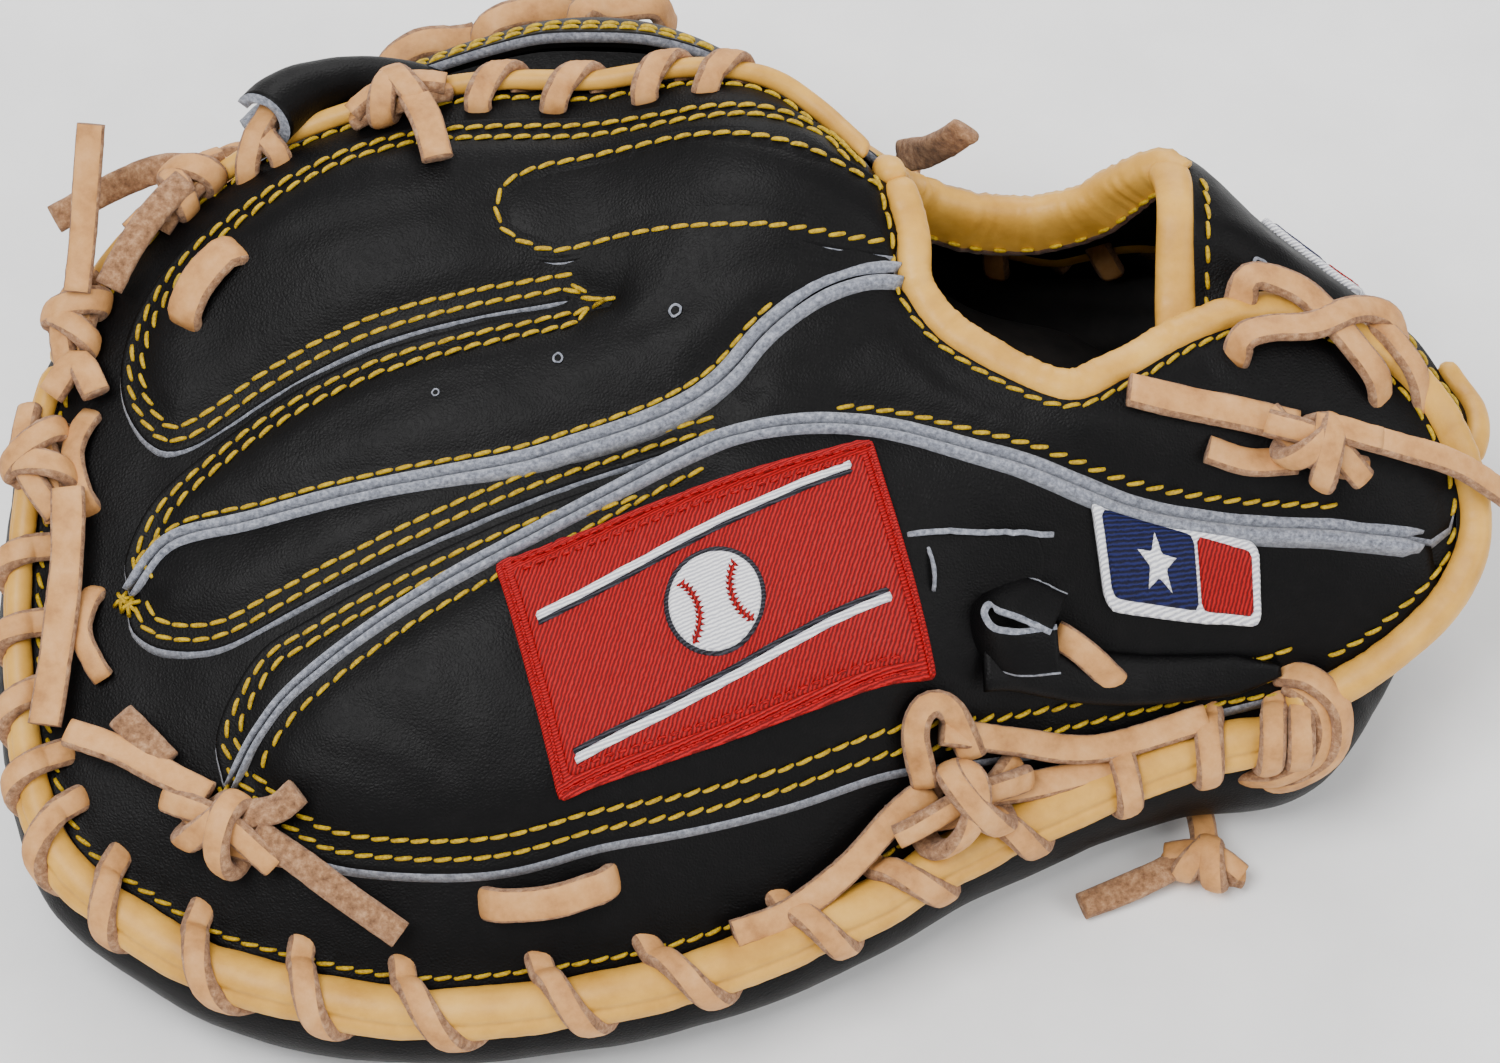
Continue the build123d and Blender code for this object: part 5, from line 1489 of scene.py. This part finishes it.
for body, ground, places in (("finger_side", finger_ground, [(-14, 0, 1.5), (-36, -7, 1.2), (-59, -12, 0.9)]),
                             ("thumb_side", thumb_ground, [(97, 19, 1.8)])):
    mesh = Mesh(BLACK, RAW)
    for x, y, size in places:
        eyelet(mesh, ground, x, y, size)
    mesh.piece("eyelets_" + body, body)

mesh = Mesh(GOLD)
for spot in np.array([(-118, -39.5), (-116.5, -41), (-98, -75.5), (-96.5, -77)]):
    for turn in np.radians([20, 75, 130]):
        heading = np.array([math.cos(turn), math.sin(turn)])
        line = [spot - 2.2 * heading, spot, spot + 2.2 * heading]
        lace_over(mesh, finger_ground, line, lift=0.2, dip=(0.8, 0.8), width=0.75, thickness=0.75)
mesh.piece("thread_ends", "finger_side")

mesh = Mesh(RAW)
lace_over(mesh, finger_ground, [(29.5, -36), (36, -34.6), (46, -33.4), (57, -32.6)], lift=-0.3, dip=(0.4, 0.4),
          width=1.1, thickness=0.9)
lace_over(mesh, finger_ground, [(33, -36.5), (34, -40), (34.5, -44)], lift=-0.4, dip=(0.4, 0.4), width=0.7,
          thickness=0.8)
mesh.piece("leather_tab_edge", "finger_side")

# ---------------------------------------------------------------- floor and light
FLOOR_SIZE, BELOW_MITT = 8.0, 0.0003    # metres
bpy.ops.mesh.primitive_plane_add(size=FLOOR_SIZE, location=(0, 0, -BELOW_MITT))
floor = bpy.context.object
floor.name = "floor"
floor.data.materials.append(FLOOR.material)


def soft_light(name, place, power, size=0.9):
    lamp = bpy.data.lights.new(name, "AREA")
    lamp.shape, lamp.size, lamp.energy = "DISK", size, power
    holder = bpy.data.objects.new(name, lamp)
    bpy.context.scene.collection.objects.link(holder)
    holder.location = place
    holder.rotation_euler = (aim - Vector(place)).to_track_quat("-Z", "Y").to_euler()
    return holder


key_light = soft_light("key_light", (-0.5, -0.5, 1.5), 26)
fill_light = soft_light("fill_light", (1.1, -0.6, 0.9), 9)
back_light = soft_light("back_light", (0.1, 1.2, 1.0), 14)
world = bpy.data.worlds.new("studio")
world.use_nodes = True
background = world.node_tree.nodes["Background"]
background.inputs["Color"].default_value = (1.0, 1.0, 1.0, 1.0)
background.inputs["Strength"].default_value = 0.75
bpy.context.scene.world = world
